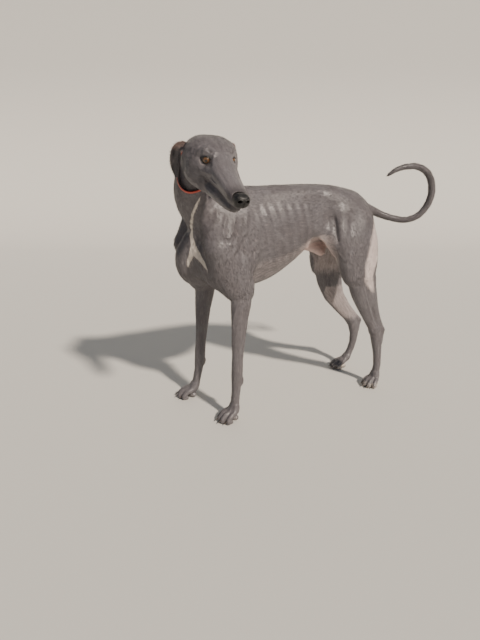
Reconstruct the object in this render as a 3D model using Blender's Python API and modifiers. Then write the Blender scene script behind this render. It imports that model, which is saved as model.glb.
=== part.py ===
"""A standing greyhound at life size, as a still museum model.

The dog faces -Y, its left side is +X and +Z is up, in metres. The flesh is modelled as soft forms, one for
each muscle, limb and bone that shows. Each form is a path with an oval section. The forms are united by a
voxel remesh, and the mesh is then drawn onto the smooth union of the same forms, so that muscles run into
each other as they do under skin. The whole is parted into named pieces by thin cuts.
"""

import math

import bmesh
import bpy
import numpy as np
from mathutils import Matrix, Vector

# Driving dimensions of the dog, in metres
EYE_R = 0.0118
EYE_PLACE = (0.0288, 0.004, 0.0030)
EYE_TURN = math.radians(31)
HEAD_SCALE = 1.05
HEAD_PLACE = (0.260, -0.368, 0.808)
HEAD_YAW = math.radians(90)
HEAD_PITCH = math.radians(22.5)
HEAD_ROLL = math.radians(1.5)
MOUTH_CORNER = (-0.040, -0.0515)
MOUTH_FRONT = (-0.165, -0.0455)
LID_HALF = (0.0124, 0.0078, 0.0068)
EAR_THICK = 0.0022
GAP = 0.0003
COLLAR_PLACE = (0.096, -0.364, 0.789)
COLLAR_AXIS = (0.87, -0.30, 0.34)
COLLAR_WIDTH = 0.015
COLLAR_THICK = 0.0022
RING_R, RING_WIRE, KEEPER_R, RING_LIFT = 0.0115, 0.0013, 0.0042, 0.0085
CLAW_LENGTH, CLAW_R = 0.013, 0.0024
HIND_PAW = 0.94
COAT = "6E6A6B"
FLAT = ("collar",)

# Voxels that the forms are fused at, and how many triangles each fused piece keeps
BODY_VOXEL, BODY_TRIANGLES = 0.0036, 7400
HEAD_VOXEL, HEAD_TRIANGLES = 0.0019, 2400
PAW_VOXEL, PAW_TRIANGLES = 0.0016, 760
NOSE_VOXEL, NOSE_TRIANGLES = 0.0010, 260

# The thin cuts between the pieces: a point of each and the way that it faces
NECK_CUT = (0.0, -0.292, 0.690), (0.02, -0.76, 0.65)
HEAD_CUT = (0.146, -0.372, 0.820), (0.96, 0.02, 0.27)
TAIL_CUT = (0.0, 0.306, 0.652), (0.0, 0.98, 0.20)
LEG_CUT = (0.0, -0.250, 0.405), (0.0, 0.18, -1.0)
PAW_CUT = (0.0, 0.0, 0.058), (0.0, 0.0, -1.0)
TAIL_CUTS = ((0.086, 0.458, 0.630), (0.50, 0.55, 0.67)), ((0.129, 0.415, 0.787), (0.05, -0.90, 0.42))

# How far the right legs stand from the place of the left ones, along Y and Z, by height
RIGHT_FORE_SHIFTS = ((0.0, -0.070), (0.055, -0.062), (0.11, -0.056), (0.25, -0.052), (0.43, -0.052),
                     (0.55, -0.046), (0.70, -0.010))
RIGHT_HIND_SHIFTS = ((0.0, -0.012), (0.044, 0.006), (0.11, 0.030), (0.16, 0.040), (0.22, 0.042), (0.28, 0.014),
                     (0.33, -0.006), (0.40, -0.006), (0.50, 0.008), (0.62, 0.0))
RIGHT_HIND_SINK = ((0.0, 0.0), (0.11, -0.004), (0.22, -0.022), (0.28, -0.018), (0.36, -0.008), (0.45, 0.0))


def spline(rows, count):
    """Rows of numbers joined by a smooth Catmull-Rom curve, read at evenly spaced lengths of the path."""
    rows = np.asarray(rows, float)
    length = np.r_[0, np.cumsum(np.linalg.norm(np.diff(rows[:, :3], axis=0), axis=1))]
    slope = np.gradient(rows, length, axis=0) if len(rows) > 2 else np.repeat(
        (rows[1:] - rows[:1]) / length[1], 2, axis=0)
    at = np.linspace(0, length[-1], count)
    i = np.clip(np.searchsorted(length, at, side="right") - 1, 0, len(rows) - 2)
    h = (length[i + 1] - length[i])[:, None]
    t = (at - length[i])[:, None] / h
    return ((1 + 2 * t) * (1 - t) ** 2 * rows[i] + t * (1 - t) ** 2 * h * slope[i]
            + t * t * (3 - 2 * t) * rows[i + 1] + t * t * (t - 1) * h * slope[i + 1])


def unit(v):
    return v / np.maximum(np.linalg.norm(v, axis=-1, keepdims=True), 1e-9)


def form(stations, side=(1, 0, 0), blend=0.012, power=2.0, cap=1.0, sides=None):
    """A soft form. Each station is x, y, z, half width along side, half depth above and half depth below."""
    rows = np.array([s if len(s) == 6 else (*s, s[-1]) for s in stations], float)
    across = np.array(sides if sides is not None else [side] * len(rows), float)
    length = np.linalg.norm(np.diff(rows[:, :3], axis=0), axis=1).sum()
    count = int(np.clip(length / 0.008, 5, 70))
    dense = spline(np.c_[rows, across], count)
    centre = dense[:, :3]
    along = unit(np.gradient(centre, axis=0))
    u = dense[:, 6:9]
    u = unit(u - (u * along).sum(1, keepdims=True) * along)
    return {"centre": centre, "u": u, "v": np.cross(along, u), "along": along,
            "a": np.maximum(dense[:, 3], 0.0015), "up": np.maximum(dense[:, 4], 0.0015),
            "down": np.maximum(dense[:, 5], 0.0015), "blend": blend, "power": power, "cap": cap}


def distance(shape, points):
    """How far each point lies outside a form: the least distance over the lengths that its path is made of."""
    centre, u, v = (shape[name].astype(np.float32) for name in ("centre", "u", "v"))
    a, up, down = (shape[name].astype(np.float32) for name in ("a", "up", "down"))
    step = centre[1:] - centre[:-1]
    size = (step ** 2).sum(1)
    power = shape["power"]
    out = np.empty(len(points), np.float32)
    for start in range(0, len(points), 8000):
        rel = points[start:start + 8000, None].astype(np.float32) - centre[None, :-1]
        t = np.clip(np.einsum("nsk,sk->ns", rel, step) / size, 0, 1)
        rel -= t[..., None] * step
        du = np.einsum("nsk,sk->ns", rel, u[:-1]) + t * np.einsum("nsk,sk->ns", rel, u[1:] - u[:-1])
        dv = np.einsum("nsk,sk->ns", rel, v[:-1]) + t * np.einsum("nsk,sk->ns", rel, v[1:] - v[:-1])
        far2 = np.einsum("nsk,nsk->ns", rel, rel)
        rest2 = np.maximum(far2 - du ** 2 - dv ** 2, 0)
        side = a[:-1] + t * (a[1:] - a[:-1])
        over = up[:-1] + t * (up[1:] - up[:-1])
        under = down[:-1] + t * (down[1:] - down[:-1])
        deep = np.where(dv > 0, over, under)
        if power == 2:
            r2 = (du / side) ** 2 + (dv / deep) ** 2
        else:
            r2 = (np.abs(du / side) ** power + np.abs(dv / deep) ** power) ** (2 / power)
        r = np.sqrt(r2 + rest2 / (np.minimum(side, deep) * shape["cap"]) ** 2)
        far = np.sqrt(far2)
        out[start:start + 8000] = np.where(r > 1e-3, far - far / np.maximum(r, 1e-3), -side).min(1)
    return out


def soft_union(shapes, points, hollows=()):
    """The smooth union of the forms, less the hollows: near two surfaces the distance is eased by their blend."""
    total = np.full(len(points), 1.0, np.float32)
    for shape in (*shapes, *hollows):
        reach = np.maximum(shape["a"], np.maximum(shape["up"], shape["down"])).max() + shape["blend"] + 0.01
        low = shape["centre"].min(0) - reach
        high = shape["centre"].max(0) + reach
        near = ((points > low) & (points < high)).all(1)
        d = distance(shape, points[near])
        k = shape["blend"]
        old = total[near]
        if any(shape is hollow for hollow in hollows):
            total[near] = np.maximum(old, -d) + np.maximum(k - np.abs(old + d), 0) ** 2 / (4 * k)
        else:
            total[near] = np.minimum(old, d) - np.maximum(k - np.abs(old - d), 0) ** 2 / (4 * k)
    return total


def form_mesh(shape, around=20):
    """Closed rings round a form's path, with a round cap at each end: points and quads."""
    angle = np.linspace(0, 2 * np.pi, around, endpoint=False)
    rings = []

    def ring(i, shrink, slide):
        c, s = np.cos(angle)[:, None], np.sin(angle)[:, None]
        depth = np.where(s > 0, shape["up"][i], shape["down"][i])
        rings.append(shape["centre"][i] + slide * shape["along"][i]
                     + shrink * (c * shape["a"][i] * shape["u"][i] + s * depth * shape["v"][i]))

    last = len(shape["centre"]) - 1
    for turn in (80, 60, 35):
        reach = min(shape["a"][0], shape["up"][0], shape["down"][0]) * shape["cap"]
        ring(0, math.cos(math.radians(turn)), -reach * math.sin(math.radians(turn)))
    for i in range(last + 1):
        ring(i, 1, 0)
    for turn in (35, 60, 80):
        reach = min(shape["a"][last], shape["up"][last], shape["down"][last]) * shape["cap"]
        ring(last, math.cos(math.radians(turn)), reach * math.sin(math.radians(turn)))
    points = np.concatenate(rings)
    n = len(rings)
    i, j = np.meshgrid(np.arange(n - 1), np.arange(around), indexing="ij")
    nxt = (j + 1) % around
    quads = np.stack([i * around + j, i * around + nxt, (i + 1) * around + nxt, (i + 1) * around + j], -1)
    faces = quads.reshape(-1, 4).tolist()
    faces.append(list(range(around))[::-1])
    faces.append([(n - 1) * around + k for k in range(around)])
    return points, faces


def turned(shapes, shifts, sink=((0, 0), (1, 0))):
    """Mirror copies of left-side forms for the right side, moved along Y and Z by amounts set by height."""
    out = []
    for shape in shapes:
        new = dict(shape)
        for name in ("centre", "u", "v", "along"):
            new[name] = shape[name] * (-1, 1, 1)
        height = shape["centre"][:, 2]
        new["centre"] = new["centre"] + np.c_[0 * height, np.interp(height, *zip(*shifts)),
                                              np.interp(height, *zip(*sink))]
        out.append(new)
    return out


def torso_forms():
    """Deep keel of a chest, a high tuck-up, an arched loin and the croup, with the long back muscles."""
    trunk = form([
        (0, 0.300, 0.606, 0.028, 0.042, 0.040),
        (0, 0.268, 0.612, 0.048, 0.066, 0.070),
        (0, 0.215, 0.630, 0.066, 0.084, 0.084),
        (0, 0.150, 0.645, 0.067, 0.086, 0.082),
        (0, 0.085, 0.648, 0.064, 0.090, 0.084),
        (0, 0.025, 0.640, 0.074, 0.100, 0.094),
        (0, -0.040, 0.622, 0.087, 0.118, 0.124),
        (0, -0.115, 0.608, 0.093, 0.128, 0.148),
        (0, -0.195, 0.602, 0.088, 0.132, 0.154),
        (0, -0.262, 0.592, 0.076, 0.112, 0.128),
        (0, -0.312, 0.576, 0.052, 0.070, 0.082),
        (0, -0.336, 0.558, 0.028, 0.034, 0.044)], power=2.1, cap=0.6)
    keel = form([
        (0, -0.332, 0.540, 0.026, 0.028),
        (0, -0.312, 0.490, 0.030, 0.034),
        (0, -0.262, 0.462, 0.034, 0.034),
        (0, -0.190, 0.457, 0.034, 0.034),
        (0, -0.115, 0.470, 0.034, 0.034),
        (0, -0.040, 0.514, 0.032, 0.032),
        (0, 0.020, 0.556, 0.026, 0.024)], blend=0.034)
    back = [form([
        (s * 0.022, 0.215, 0.690, 0.022, 0.018),
        (s * 0.027, 0.120, 0.708, 0.026, 0.022),
        (s * 0.030, 0.030, 0.712, 0.028, 0.024),
        (s * 0.026, -0.090, 0.708, 0.026, 0.024),
        (s * 0.018, -0.190, 0.708, 0.018, 0.020)], blend=0.024) for s in (1, -1)]
    sheath = form([
        (0, 0.010, 0.541, 0.009, 0.009),
        (0, 0.060, 0.535, 0.0135, 0.014),
        (0, 0.098, 0.525, 0.0165, 0.0175),
        (0, 0.114, 0.515, 0.0165, 0.0165)], blend=0.012)
    groin = form([
        (0, 0.040, 0.556, 0.018, 0.020),
        (0, 0.120, 0.552, 0.016, 0.022),
        (0, 0.190, 0.552, 0.028, 0.030),
        (0, 0.250, 0.578, 0.034, 0.044)], blend=0.022)
    return [trunk, keel, *back, sheath, groin]


def fore_forms():
    """Left shoulder, arm, forearm, wrist and pastern."""
    blade = form([
        (0.034, -0.178, 0.706, 0.018, 0.030),
        (0.058, -0.222, 0.655, 0.028, 0.052),
        (0.076, -0.276, 0.595, 0.031, 0.048),
        (0.082, -0.300, 0.552, 0.028, 0.034)], blend=0.030)
    long_triceps = form([
        (0.056, -0.156, 0.640, 0.022, 0.032),
        (0.074, -0.200, 0.565, 0.028, 0.042),
        (0.086, -0.220, 0.495, 0.024, 0.031),
        (0.088, -0.222, 0.440, 0.017, 0.020)], blend=0.026)
    side_triceps = form([
        (0.084, -0.284, 0.565, 0.026, 0.038),
        (0.092, -0.262, 0.512, 0.027, 0.040),
        (0.094, -0.238, 0.462, 0.024, 0.034),
        (0.092, -0.222, 0.425, 0.018, 0.024)], blend=0.022)
    biceps = form([
        (0.078, -0.308, 0.552, 0.026, 0.026),
        (0.082, -0.290, 0.492, 0.026, 0.032),
        (0.087, -0.256, 0.432, 0.023, 0.028)], blend=0.024)
    breast = form([
        (0.016, -0.322, 0.580, 0.020, 0.020),
        (0.028, -0.328, 0.530, 0.028, 0.026),
        (0.048, -0.304, 0.475, 0.030, 0.030),
        (0.064, -0.262, 0.440, 0.022, 0.024)], blend=0.026)
    neck_strap = form([
        (0.036, -0.280, 0.700, 0.020, 0.034),
        (0.058, -0.304, 0.640, 0.022, 0.034),
        (0.076, -0.312, 0.570, 0.020, 0.028)], blend=0.030)
    armpit = form([
        (0.036, -0.180, 0.560, 0.034, 0.050),
        (0.056, -0.215, 0.500, 0.030, 0.040),
        (0.072, -0.225, 0.455, 0.022, 0.028)], blend=0.026)
    forearm = form([
        (0.088, -0.226, 0.440, 0.023, 0.032),
        (0.091, -0.232, 0.395, 0.0235, 0.034),
        (0.094, -0.238, 0.345, 0.0205, 0.0285),
        (0.097, -0.243, 0.280, 0.0170, 0.0230),
        (0.099, -0.248, 0.215, 0.0150, 0.0190),
        (0.100, -0.250, 0.180, 0.0165, 0.0190),
        (0.100, -0.251, 0.155, 0.0175, 0.0190),
        (0.101, -0.253, 0.130, 0.0160, 0.0170),
        (0.102, -0.256, 0.095, 0.0150, 0.0145),
        (0.103, -0.260, 0.060, 0.0170, 0.0140),
        (0.104, -0.264, 0.042, 0.0180, 0.0140)], blend=0.014)
    wrist_pad = form([(0.101, -0.236, 0.138, 0.008, 0.008), (0.102, -0.237, 0.126, 0.007, 0.008)], blend=0.008)
    elbow = form([(0.087, -0.200, 0.450, 0.012, 0.013), (0.088, -0.202, 0.422, 0.012, 0.013)], blend=0.014)
    return [blade, long_triceps, side_triceps, biceps, breast, neck_strap, armpit, forearm, wrist_pad, elbow]


def hind_forms():
    """Left rump, thigh, stifle, gaskin, hock and rear pastern."""
    rump = form([
        (0.036, 0.110, 0.688, 0.026, 0.030),
        (0.048, 0.165, 0.655, 0.034, 0.050),
        (0.062, 0.215, 0.605, 0.037, 0.056)], blend=0.034)
    front_thigh = form([
        (0.058, 0.148, 0.640, 0.028, 0.036),
        (0.076, 0.146, 0.575, 0.034, 0.046),
        (0.089, 0.160, 0.510, 0.032, 0.040),
        (0.095, 0.172, 0.455, 0.024, 0.030)], blend=0.026)
    outer_thigh = form([
        (0.034, 0.224, 0.668, 0.018, 0.026),
        (0.054, 0.226, 0.628, 0.030, 0.046),
        (0.075, 0.220, 0.575, 0.037, 0.062),
        (0.092, 0.216, 0.500, 0.034, 0.062),
        (0.098, 0.218, 0.435, 0.027, 0.050)], blend=0.028)
    rear_thigh = form([
        (0.020, 0.262, 0.630, 0.014, 0.018),
        (0.034, 0.268, 0.598, 0.024, 0.026),
        (0.052, 0.270, 0.558, 0.029, 0.031),
        (0.074, 0.266, 0.490, 0.027, 0.030),
        (0.090, 0.256, 0.415, 0.020, 0.026)], blend=0.022)
    inner_thigh = form([
        (0.038, 0.220, 0.600, 0.032, 0.066),
        (0.056, 0.210, 0.530, 0.032, 0.066),
        (0.076, 0.205, 0.465, 0.026, 0.054)], blend=0.026)
    stifle = form([(0.096, 0.160, 0.472, 0.020, 0.021), (0.098, 0.172, 0.432, 0.019, 0.020)], blend=0.018)
    gaskin = form([
        (0.098, 0.208, 0.440, 0.026, 0.046),
        (0.098, 0.222, 0.385, 0.0255, 0.0385),
        (0.097, 0.246, 0.330, 0.0205, 0.0300),
        (0.095, 0.276, 0.272, 0.0150, 0.0215),
        (0.094, 0.304, 0.226, 0.0155, 0.0190)], blend=0.016)
    calf = form([
        (0.097, 0.252, 0.415, 0.020, 0.030),
        (0.098, 0.268, 0.360, 0.020, 0.026),
        (0.096, 0.292, 0.305, 0.014, 0.019),
        (0.095, 0.316, 0.262, 0.0095, 0.0130),
        (0.093, 0.338, 0.226, 0.0095, 0.0105)], blend=0.014)
    heel = form([(0.093, 0.342, 0.218, 0.0095, 0.0105), (0.093, 0.334, 0.178, 0.010, 0.012)], blend=0.012)
    shank = form([
        (0.094, 0.304, 0.224, 0.0160, 0.0190),
        (0.093, 0.316, 0.194, 0.0170, 0.0210),
        (0.093, 0.324, 0.160, 0.0150, 0.0190),
        (0.093, 0.331, 0.115, 0.0130, 0.0160),
        (0.093, 0.333, 0.070, 0.0135, 0.0145),
        (0.093, 0.328, 0.044, 0.0165, 0.0135)], blend=0.012)
    flank = form([
        (0.052, 0.060, 0.606, 0.014, 0.022),
        (0.062, 0.092, 0.580, 0.011, 0.024),
        (0.078, 0.124, 0.540, 0.014, 0.022)], blend=0.026)
    return [rump, front_thigh, outer_thigh, rear_thigh, inner_thigh, stifle, gaskin, calf, heel, shank, flank]


def paw_forms(ankle, place, turn, size):
    """Four arched toes and the pads, below the ankle point, with the toes spread round a heading."""
    c, s = math.cos(turn), math.sin(turn)

    def at(across, ahead, height):
        return (place[0] + size * (c * across + s * ahead), place[1] + size * (s * across - c * ahead),
                size * height)

    out = []
    for across, reach, splay in ((-0.0205, 0.020, -0.006), (-0.0072, 0.033, -0.002),
                                 (0.0072, 0.033, 0.002), (0.0205, 0.020, 0.006)):
        out.append(form([
            (*((np.array(ankle) + at(across * 0.6, -0.016, 0.042)) / 2), 0.0078 * size, 0.0090 * size),
            (*at(across * 0.92, reach - 0.024, 0.031), 0.0078 * size, 0.0088 * size),
            (*at(across + splay * 0.4, reach - 0.008, 0.0255), 0.0080 * size, 0.0088 * size),
            (*at(across + splay, reach + 0.004, 0.0130), 0.0075 * size, 0.0082 * size)],
            side=(c, s, 0), blend=0.0035))
        out.append(form([
            (*at(across + splay * 0.6, reach - 0.009, 0.0068), 0.0068 * size, 0.0075 * size),
            (*at(across + splay, reach + 0.004, 0.0068), 0.0062 * size, 0.0070 * size)],
            side=(c, s, 0), blend=0.003))
    out.append(form([
        (*at(-0.0100, -0.014, 0.0095), 0.0095 * size, 0.0090 * size),
        (*at(0, -0.003, 0.0095), 0.0115 * size, 0.0090 * size),
        (*at(0.0100, -0.014, 0.0095), 0.0095 * size, 0.0090 * size)], side=(s, -c, 0), blend=0.004))
    out.append(form([
        (*ankle, 0.0165 * size, 0.0125 * size),
        (*at(0, -0.016, 0.030), 0.0175 * size, 0.0110 * size),
        (*at(0, -0.002, 0.024), 0.0165 * size, 0.0085 * size)], side=(c, s, 0), blend=0.006))
    return out


def neck_forms():
    """The long neck, rising from the chest and turning to the left until the head looks back past the shoulder."""
    sides = [(1, 0, 0), (1, 0.05, 0), (0.93, 0.30, 0), (0.70, 0.70, 0), (0.40, 0.92, 0), (0.10, 0.99, 0), (0, 1, 0)]
    return [form([
        (0.000, -0.200, 0.628, 0.062, 0.082, 0.110),
        (0.000, -0.268, 0.656, 0.061, 0.070, 0.092),
        (0.010, -0.331, 0.698, 0.057, 0.061, 0.074),
        (0.041, -0.363, 0.748, 0.050, 0.055, 0.067),
        (0.077, -0.363, 0.790, 0.048, 0.053, 0.066),
        (0.126, -0.364, 0.817, 0.050, 0.050, 0.060),
        (0.172, -0.365, 0.824, 0.046, 0.044, 0.054)], sides=sides, blend=0.030)]


def head_matrix():
    turn = (Matrix.Rotation(HEAD_YAW, 4, "Z") @ Matrix.Rotation(HEAD_PITCH, 4, "X")
            @ Matrix.Rotation(HEAD_ROLL, 4, "Y"))
    return Matrix.Translation(HEAD_PLACE) @ turn @ Matrix.Scale(HEAD_SCALE, 4)


def head_forms():
    """Skull, muzzle, jaw and cheeks, in the head's own axes: the eyes lie at y = 0 and z = 0."""
    skull = form([
        (0, 0.108, -0.004, 0.028, 0.018, 0.030),
        (0, 0.086, 0.000, 0.0530, 0.028, 0.050),
        (0, 0.050, 0.001, 0.0615, 0.0365, 0.059),
        (0, 0.020, 0.000, 0.0480, 0.034, 0.058),
        (0, -0.010, -0.004, 0.0345, 0.027, 0.052),
        (0, -0.040, -0.010, 0.0320, 0.0215, 0.040),
        (0, -0.070, -0.016, 0.0280, 0.0180, 0.032),
        (0, -0.100, -0.021, 0.0255, 0.0155, 0.027),
        (0, -0.126, -0.026, 0.0232, 0.0140, 0.022),
        (0, -0.141, -0.029, 0.0185, 0.0120, 0.0175)], power=2.1, blend=0.010, cap=0.7)
    jaw = form([
        (0, 0.052, -0.052, 0.040, 0.022, 0.028),
        (0, 0.015, -0.058, 0.0365, 0.020, 0.026),
        (0, -0.030, -0.060, 0.0280, 0.018, 0.0185),
        (0, -0.070, -0.060, 0.0222, 0.015, 0.0155),
        (0, -0.100, -0.058, 0.0188, 0.013, 0.0130),
        (0, -0.118, -0.056, 0.0155, 0.011, 0.0100)], power=2.1, blend=0.006, cap=0.8)
    out = [skull, jaw]
    for s in (1, -1):
        out += [
            form([(s * 0.046, 0.068, -0.018, 0.016, 0.037), (s * 0.048, 0.036, -0.038, 0.016, 0.032),
                  (s * 0.034, 0.002, -0.050, 0.011, 0.020)], blend=0.016),
            form([(s * 0.024, 0.076, 0.009, 0.019, 0.016), (s * 0.028, 0.040, 0.010, 0.019, 0.015),
                  (s * 0.028, 0.012, 0.010, 0.011, 0.010)], blend=0.014),
            form([(s * 0.026, -0.026, -0.016, 0.008, 0.009), (s * 0.037, 0.004, -0.018, 0.008, 0.009),
                  (s * 0.050, 0.044, -0.010, 0.0075, 0.009)], blend=0.014),
            form([(s * 0.022, -0.006, 0.018, 0.008, 0.0065), (s * 0.032, 0.008, 0.019, 0.008, 0.0065)],
                 blend=0.012),
        ]
    return out


def eye_matrix(side):
    """The place of an eyeball, with its own -Y axis along the gaze."""
    x, y, z = EYE_PLACE
    return Matrix.Translation((side * x, y, z)) @ Matrix.Rotation(side * EYE_TURN, 4, "Z")


def head_hollows():
    """The dish of each eye, in front of the eyeball."""
    out = []
    for side in (1, -1):
        start, end = (eye_matrix(side) @ Vector((0, -reach, 0.001)) for reach in (0.0165, 0.030))
        out.append(form([(*start, 0.0108, 0.0092), (*end, 0.0150, 0.0130)], side=(-side * 0.6, -0.8, 0), blend=0.007))
    return out


def nose_forms():
    """The nose leather, a rounded block at the end of the muzzle."""
    return [form([
        (0, -0.131, -0.0235, 0.0165, 0.0125, 0.0150),
        (0, -0.142, -0.0250, 0.0180, 0.0140, 0.0165),
        (0, -0.151, -0.0270, 0.0150, 0.0110, 0.0135)], power=2.4, blend=0.004, cap=0.42)]


def placed(shapes, matrix):
    """Forms carried from the head's axes to the dog's."""
    turn = np.array(matrix.to_3x3())
    scale = matrix.median_scale
    out = []
    for shape in shapes:
        new = dict(shape)
        new["centre"] = shape["centre"] @ turn.T + np.array(matrix.translation)
        for name in ("u", "v", "along"):
            new[name] = shape[name] @ turn.T / scale
        for name in ("a", "up", "down"):
            new[name] = shape[name] * scale
        new["blend"] = shape["blend"] * scale
        out.append(new)
    return out


def tail_forms():
    """The whip tail, which leaves the croup low, sweeps back and curls up in an open ring."""
    return [form([
        (0.000, 0.255, 0.668, 0.020, 0.020),
        (0.000, 0.300, 0.655, 0.0170, 0.0170),
        (0.012, 0.352, 0.633, 0.0130, 0.0130),
        (0.038, 0.394, 0.618, 0.0115, 0.0115),
        (0.064, 0.430, 0.615, 0.0110, 0.0110),
        (0.086, 0.458, 0.630, 0.0113, 0.0113),
        (0.102, 0.475, 0.660, 0.0118, 0.0118),
        (0.114, 0.480, 0.698, 0.0121, 0.0121),
        (0.122, 0.468, 0.738, 0.0119, 0.0119),
        (0.128, 0.438, 0.774, 0.0114, 0.0114),
        (0.129, 0.392, 0.794, 0.0106, 0.0106),
        (0.125, 0.346, 0.795, 0.0096, 0.0096),
        (0.118, 0.310, 0.785, 0.0082, 0.0082),
        (0.112, 0.288, 0.771, 0.0058, 0.0058)], blend=0.012)]


def paws():
    """Each paw's name, ankle, ground place, heading and size."""
    return (("front_left", (0.104, -0.262, 0.044), (0.106, -0.276), math.radians(6), 1.0),
            ("front_right", (-0.104, -0.327, 0.044), (-0.108, -0.346), math.radians(-14), 1.0),
            ("hind_left", (0.093, 0.328, 0.044), (0.094, 0.318), math.radians(16), HIND_PAW),
            ("hind_right", (-0.093, 0.334, 0.044), (-0.094, 0.306), math.radians(-4), HIND_PAW))


def limb_forms():
    fore = fore_forms()
    hind = hind_forms()
    return (fore + hind + turned(fore, RIGHT_FORE_SHIFTS) + turned(hind, RIGHT_HIND_SHIFTS, RIGHT_HIND_SINK))


def all_forms():
    out = torso_forms() + neck_forms() + limb_forms() + tail_forms() + placed(head_forms(), head_matrix())
    for _, ankle, place, turn, size in paws():
        out += paw_forms(ankle, place, turn, size)
    return out


def new_object(name, points, faces):
    mesh = bpy.data.meshes.new(name)
    mesh.from_pydata([tuple(p) for p in points], [], faces)
    mesh.validate()
    obj = bpy.data.objects.new(name, mesh)
    bpy.context.scene.collection.objects.link(obj)
    return obj


def applied(obj):
    """The object's evaluated mesh put in place of its own, with the modifiers removed."""
    graph = bpy.context.evaluated_depsgraph_get()
    graph.update()
    mesh = bpy.data.meshes.new_from_object(obj.evaluated_get(graph))
    obj.modifiers.clear()
    obj.data = mesh
    return obj


def remeshed(obj, voxel):
    """The object's closed shells joined into one skin of even quads."""
    remesh = obj.modifiers.new("Fuse", "REMESH")
    remesh.mode = "VOXEL"
    remesh.voxel_size = voxel
    remesh.adaptivity = 0
    return applied(obj)


def coordinates(mesh, what="co"):
    values = np.empty(len(mesh.vertices) * 3, np.float32)
    mesh.vertices.foreach_get(what, values)
    return values.reshape(-1, 3)


def relax(mesh, amount):
    """Moves each vertex part of the way to the middle of its neighbours."""
    ends = np.empty(len(mesh.edges) * 2, np.int32)
    mesh.edges.foreach_get("vertices", ends)
    ends = ends.reshape(-1, 2)
    co = coordinates(mesh)
    here, there = np.r_[ends[:, 0], ends[:, 1]], np.r_[ends[:, 1], ends[:, 0]]
    count = np.bincount(here, minlength=len(co))
    mean = np.stack([np.bincount(here, co[there, k], len(co)) for k in range(3)], 1) / count[:, None]
    mesh.vertices.foreach_set("co", (co + amount * (mean - co)).astype(np.float32).ravel())
    mesh.update()


def draw_onto(mesh, shapes, hollows=()):
    """Moves each vertex along its normal to where the soft union's distance is zero."""
    co = coordinates(mesh)
    co -= np.clip(soft_union(shapes, co, hollows), -0.006, 0.006)[:, None] * coordinates(mesh, "normal") * 0.9
    mesh.vertices.foreach_set("co", co.ravel())
    mesh.update()


def fused(name, shapes, voxel, triangles, hollows=()):
    """One closed mesh of the forms, drawn onto their soft union and thinned to a number of triangles."""
    points, faces, count = [], [], 0
    for shape in shapes:
        p, f = form_mesh(shape)
        points.append(p)
        faces += [[i + count for i in face] for face in f]
        count += len(p)
    obj = new_object(name, np.concatenate(points), faces)
    for size in (voxel * 1.25, voxel):
        remeshed(obj, size)
        for step in range(3):
            relax(obj.data, 0.5)
            draw_onto(obj.data, shapes, hollows)
    relax(obj.data, 0.5)
    relax(obj.data, 0.5)
    thin = obj.modifiers.new("Thin", "DECIMATE")
    thin.ratio = triangles / (2 * len(obj.data.polygons))
    return applied(obj)


def sliced(source, name, cuts, near):
    """The piece of a closed mesh that lies behind all the cuts, closed again, nearest to a point."""
    bm = bmesh.new()
    bm.from_mesh(source.data)
    for point, normal in cuts:
        geometry = bm.verts[:] + bm.edges[:] + bm.faces[:]
        bmesh.ops.bisect_plane(bm, geom=geometry, plane_co=point, plane_no=normal, clear_outer=True)
        rims = [e for e in bm.edges if e.is_boundary]
        bmesh.ops.holes_fill(bm, edges=rims, sides=0)
    bmesh.ops.triangulate(bm, faces=bm.faces[:])
    keep_island(bm, Vector(near))
    bmesh.ops.recalc_face_normals(bm, faces=bm.faces[:])
    mesh = bpy.data.meshes.new(name)
    bm.to_mesh(mesh)
    bm.free()
    obj = bpy.data.objects.new(name, mesh)
    bpy.context.scene.collection.objects.link(obj)
    return obj


def keep_island(bm, near):
    """Keeps the connected surface that passes nearest to a point."""
    start = min(bm.verts, key=lambda v: (v.co - near).length_squared)
    found, queue = {start}, [start]
    while queue:
        for edge in queue.pop().link_edges:
            for vert in edge.verts:
                if vert not in found:
                    found.add(vert)
                    queue.append(vert)
    bmesh.ops.delete(bm, geom=[v for v in bm.verts if v not in found], context="VERTS")


def facing(cut, way, gap=GAP / 2):
    """A cut's plane, turned to drop what lies ahead of it (way 1) or behind it (way -1), less half a gap."""
    normal = Vector(cut[1]).normalized()
    return Vector(cut[0]) - way * normal * gap, normal * way


def boolean(obj, other, operation):
    """Joins, cuts or meets two closed meshes, and keeps the largest closed surface."""
    modifier = obj.modifiers.new("Join", "BOOLEAN")
    modifier.operation = operation
    modifier.solver = "EXACT"
    modifier.object = other
    applied(obj)
    bpy.data.objects.remove(other)
    bm = bmesh.new()
    bm.from_mesh(obj.data)
    bmesh.ops.triangulate(bm, faces=bm.faces[:])
    bmesh.ops.dissolve_degenerate(bm, dist=1e-6, edges=bm.edges[:])
    islands = []
    left = set(bm.verts)
    while left:
        queue = [left.pop()]
        island = list(queue)
        while queue:
            for edge in queue.pop().link_edges:
                for vert in edge.verts:
                    if vert in left:
                        left.remove(vert)
                        queue.append(vert)
                        island.append(vert)
        islands.append(island)
    islands.sort(key=len)
    bmesh.ops.delete(bm, geom=[v for island in islands[:-1] for v in island], context="VERTS")
    bm.to_mesh(obj.data)
    bm.free()
    return obj


def swollen(obj, name, amount):
    """A copy of a closed mesh with its skin moved outwards."""
    mesh = obj.data.copy()
    co = coordinates(mesh) + amount * coordinates(mesh, "normal")
    mesh.vertices.foreach_set("co", co.ravel())
    mesh.update()
    copy = bpy.data.objects.new(name, mesh)
    bpy.context.scene.collection.objects.link(copy)
    return copy


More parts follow.
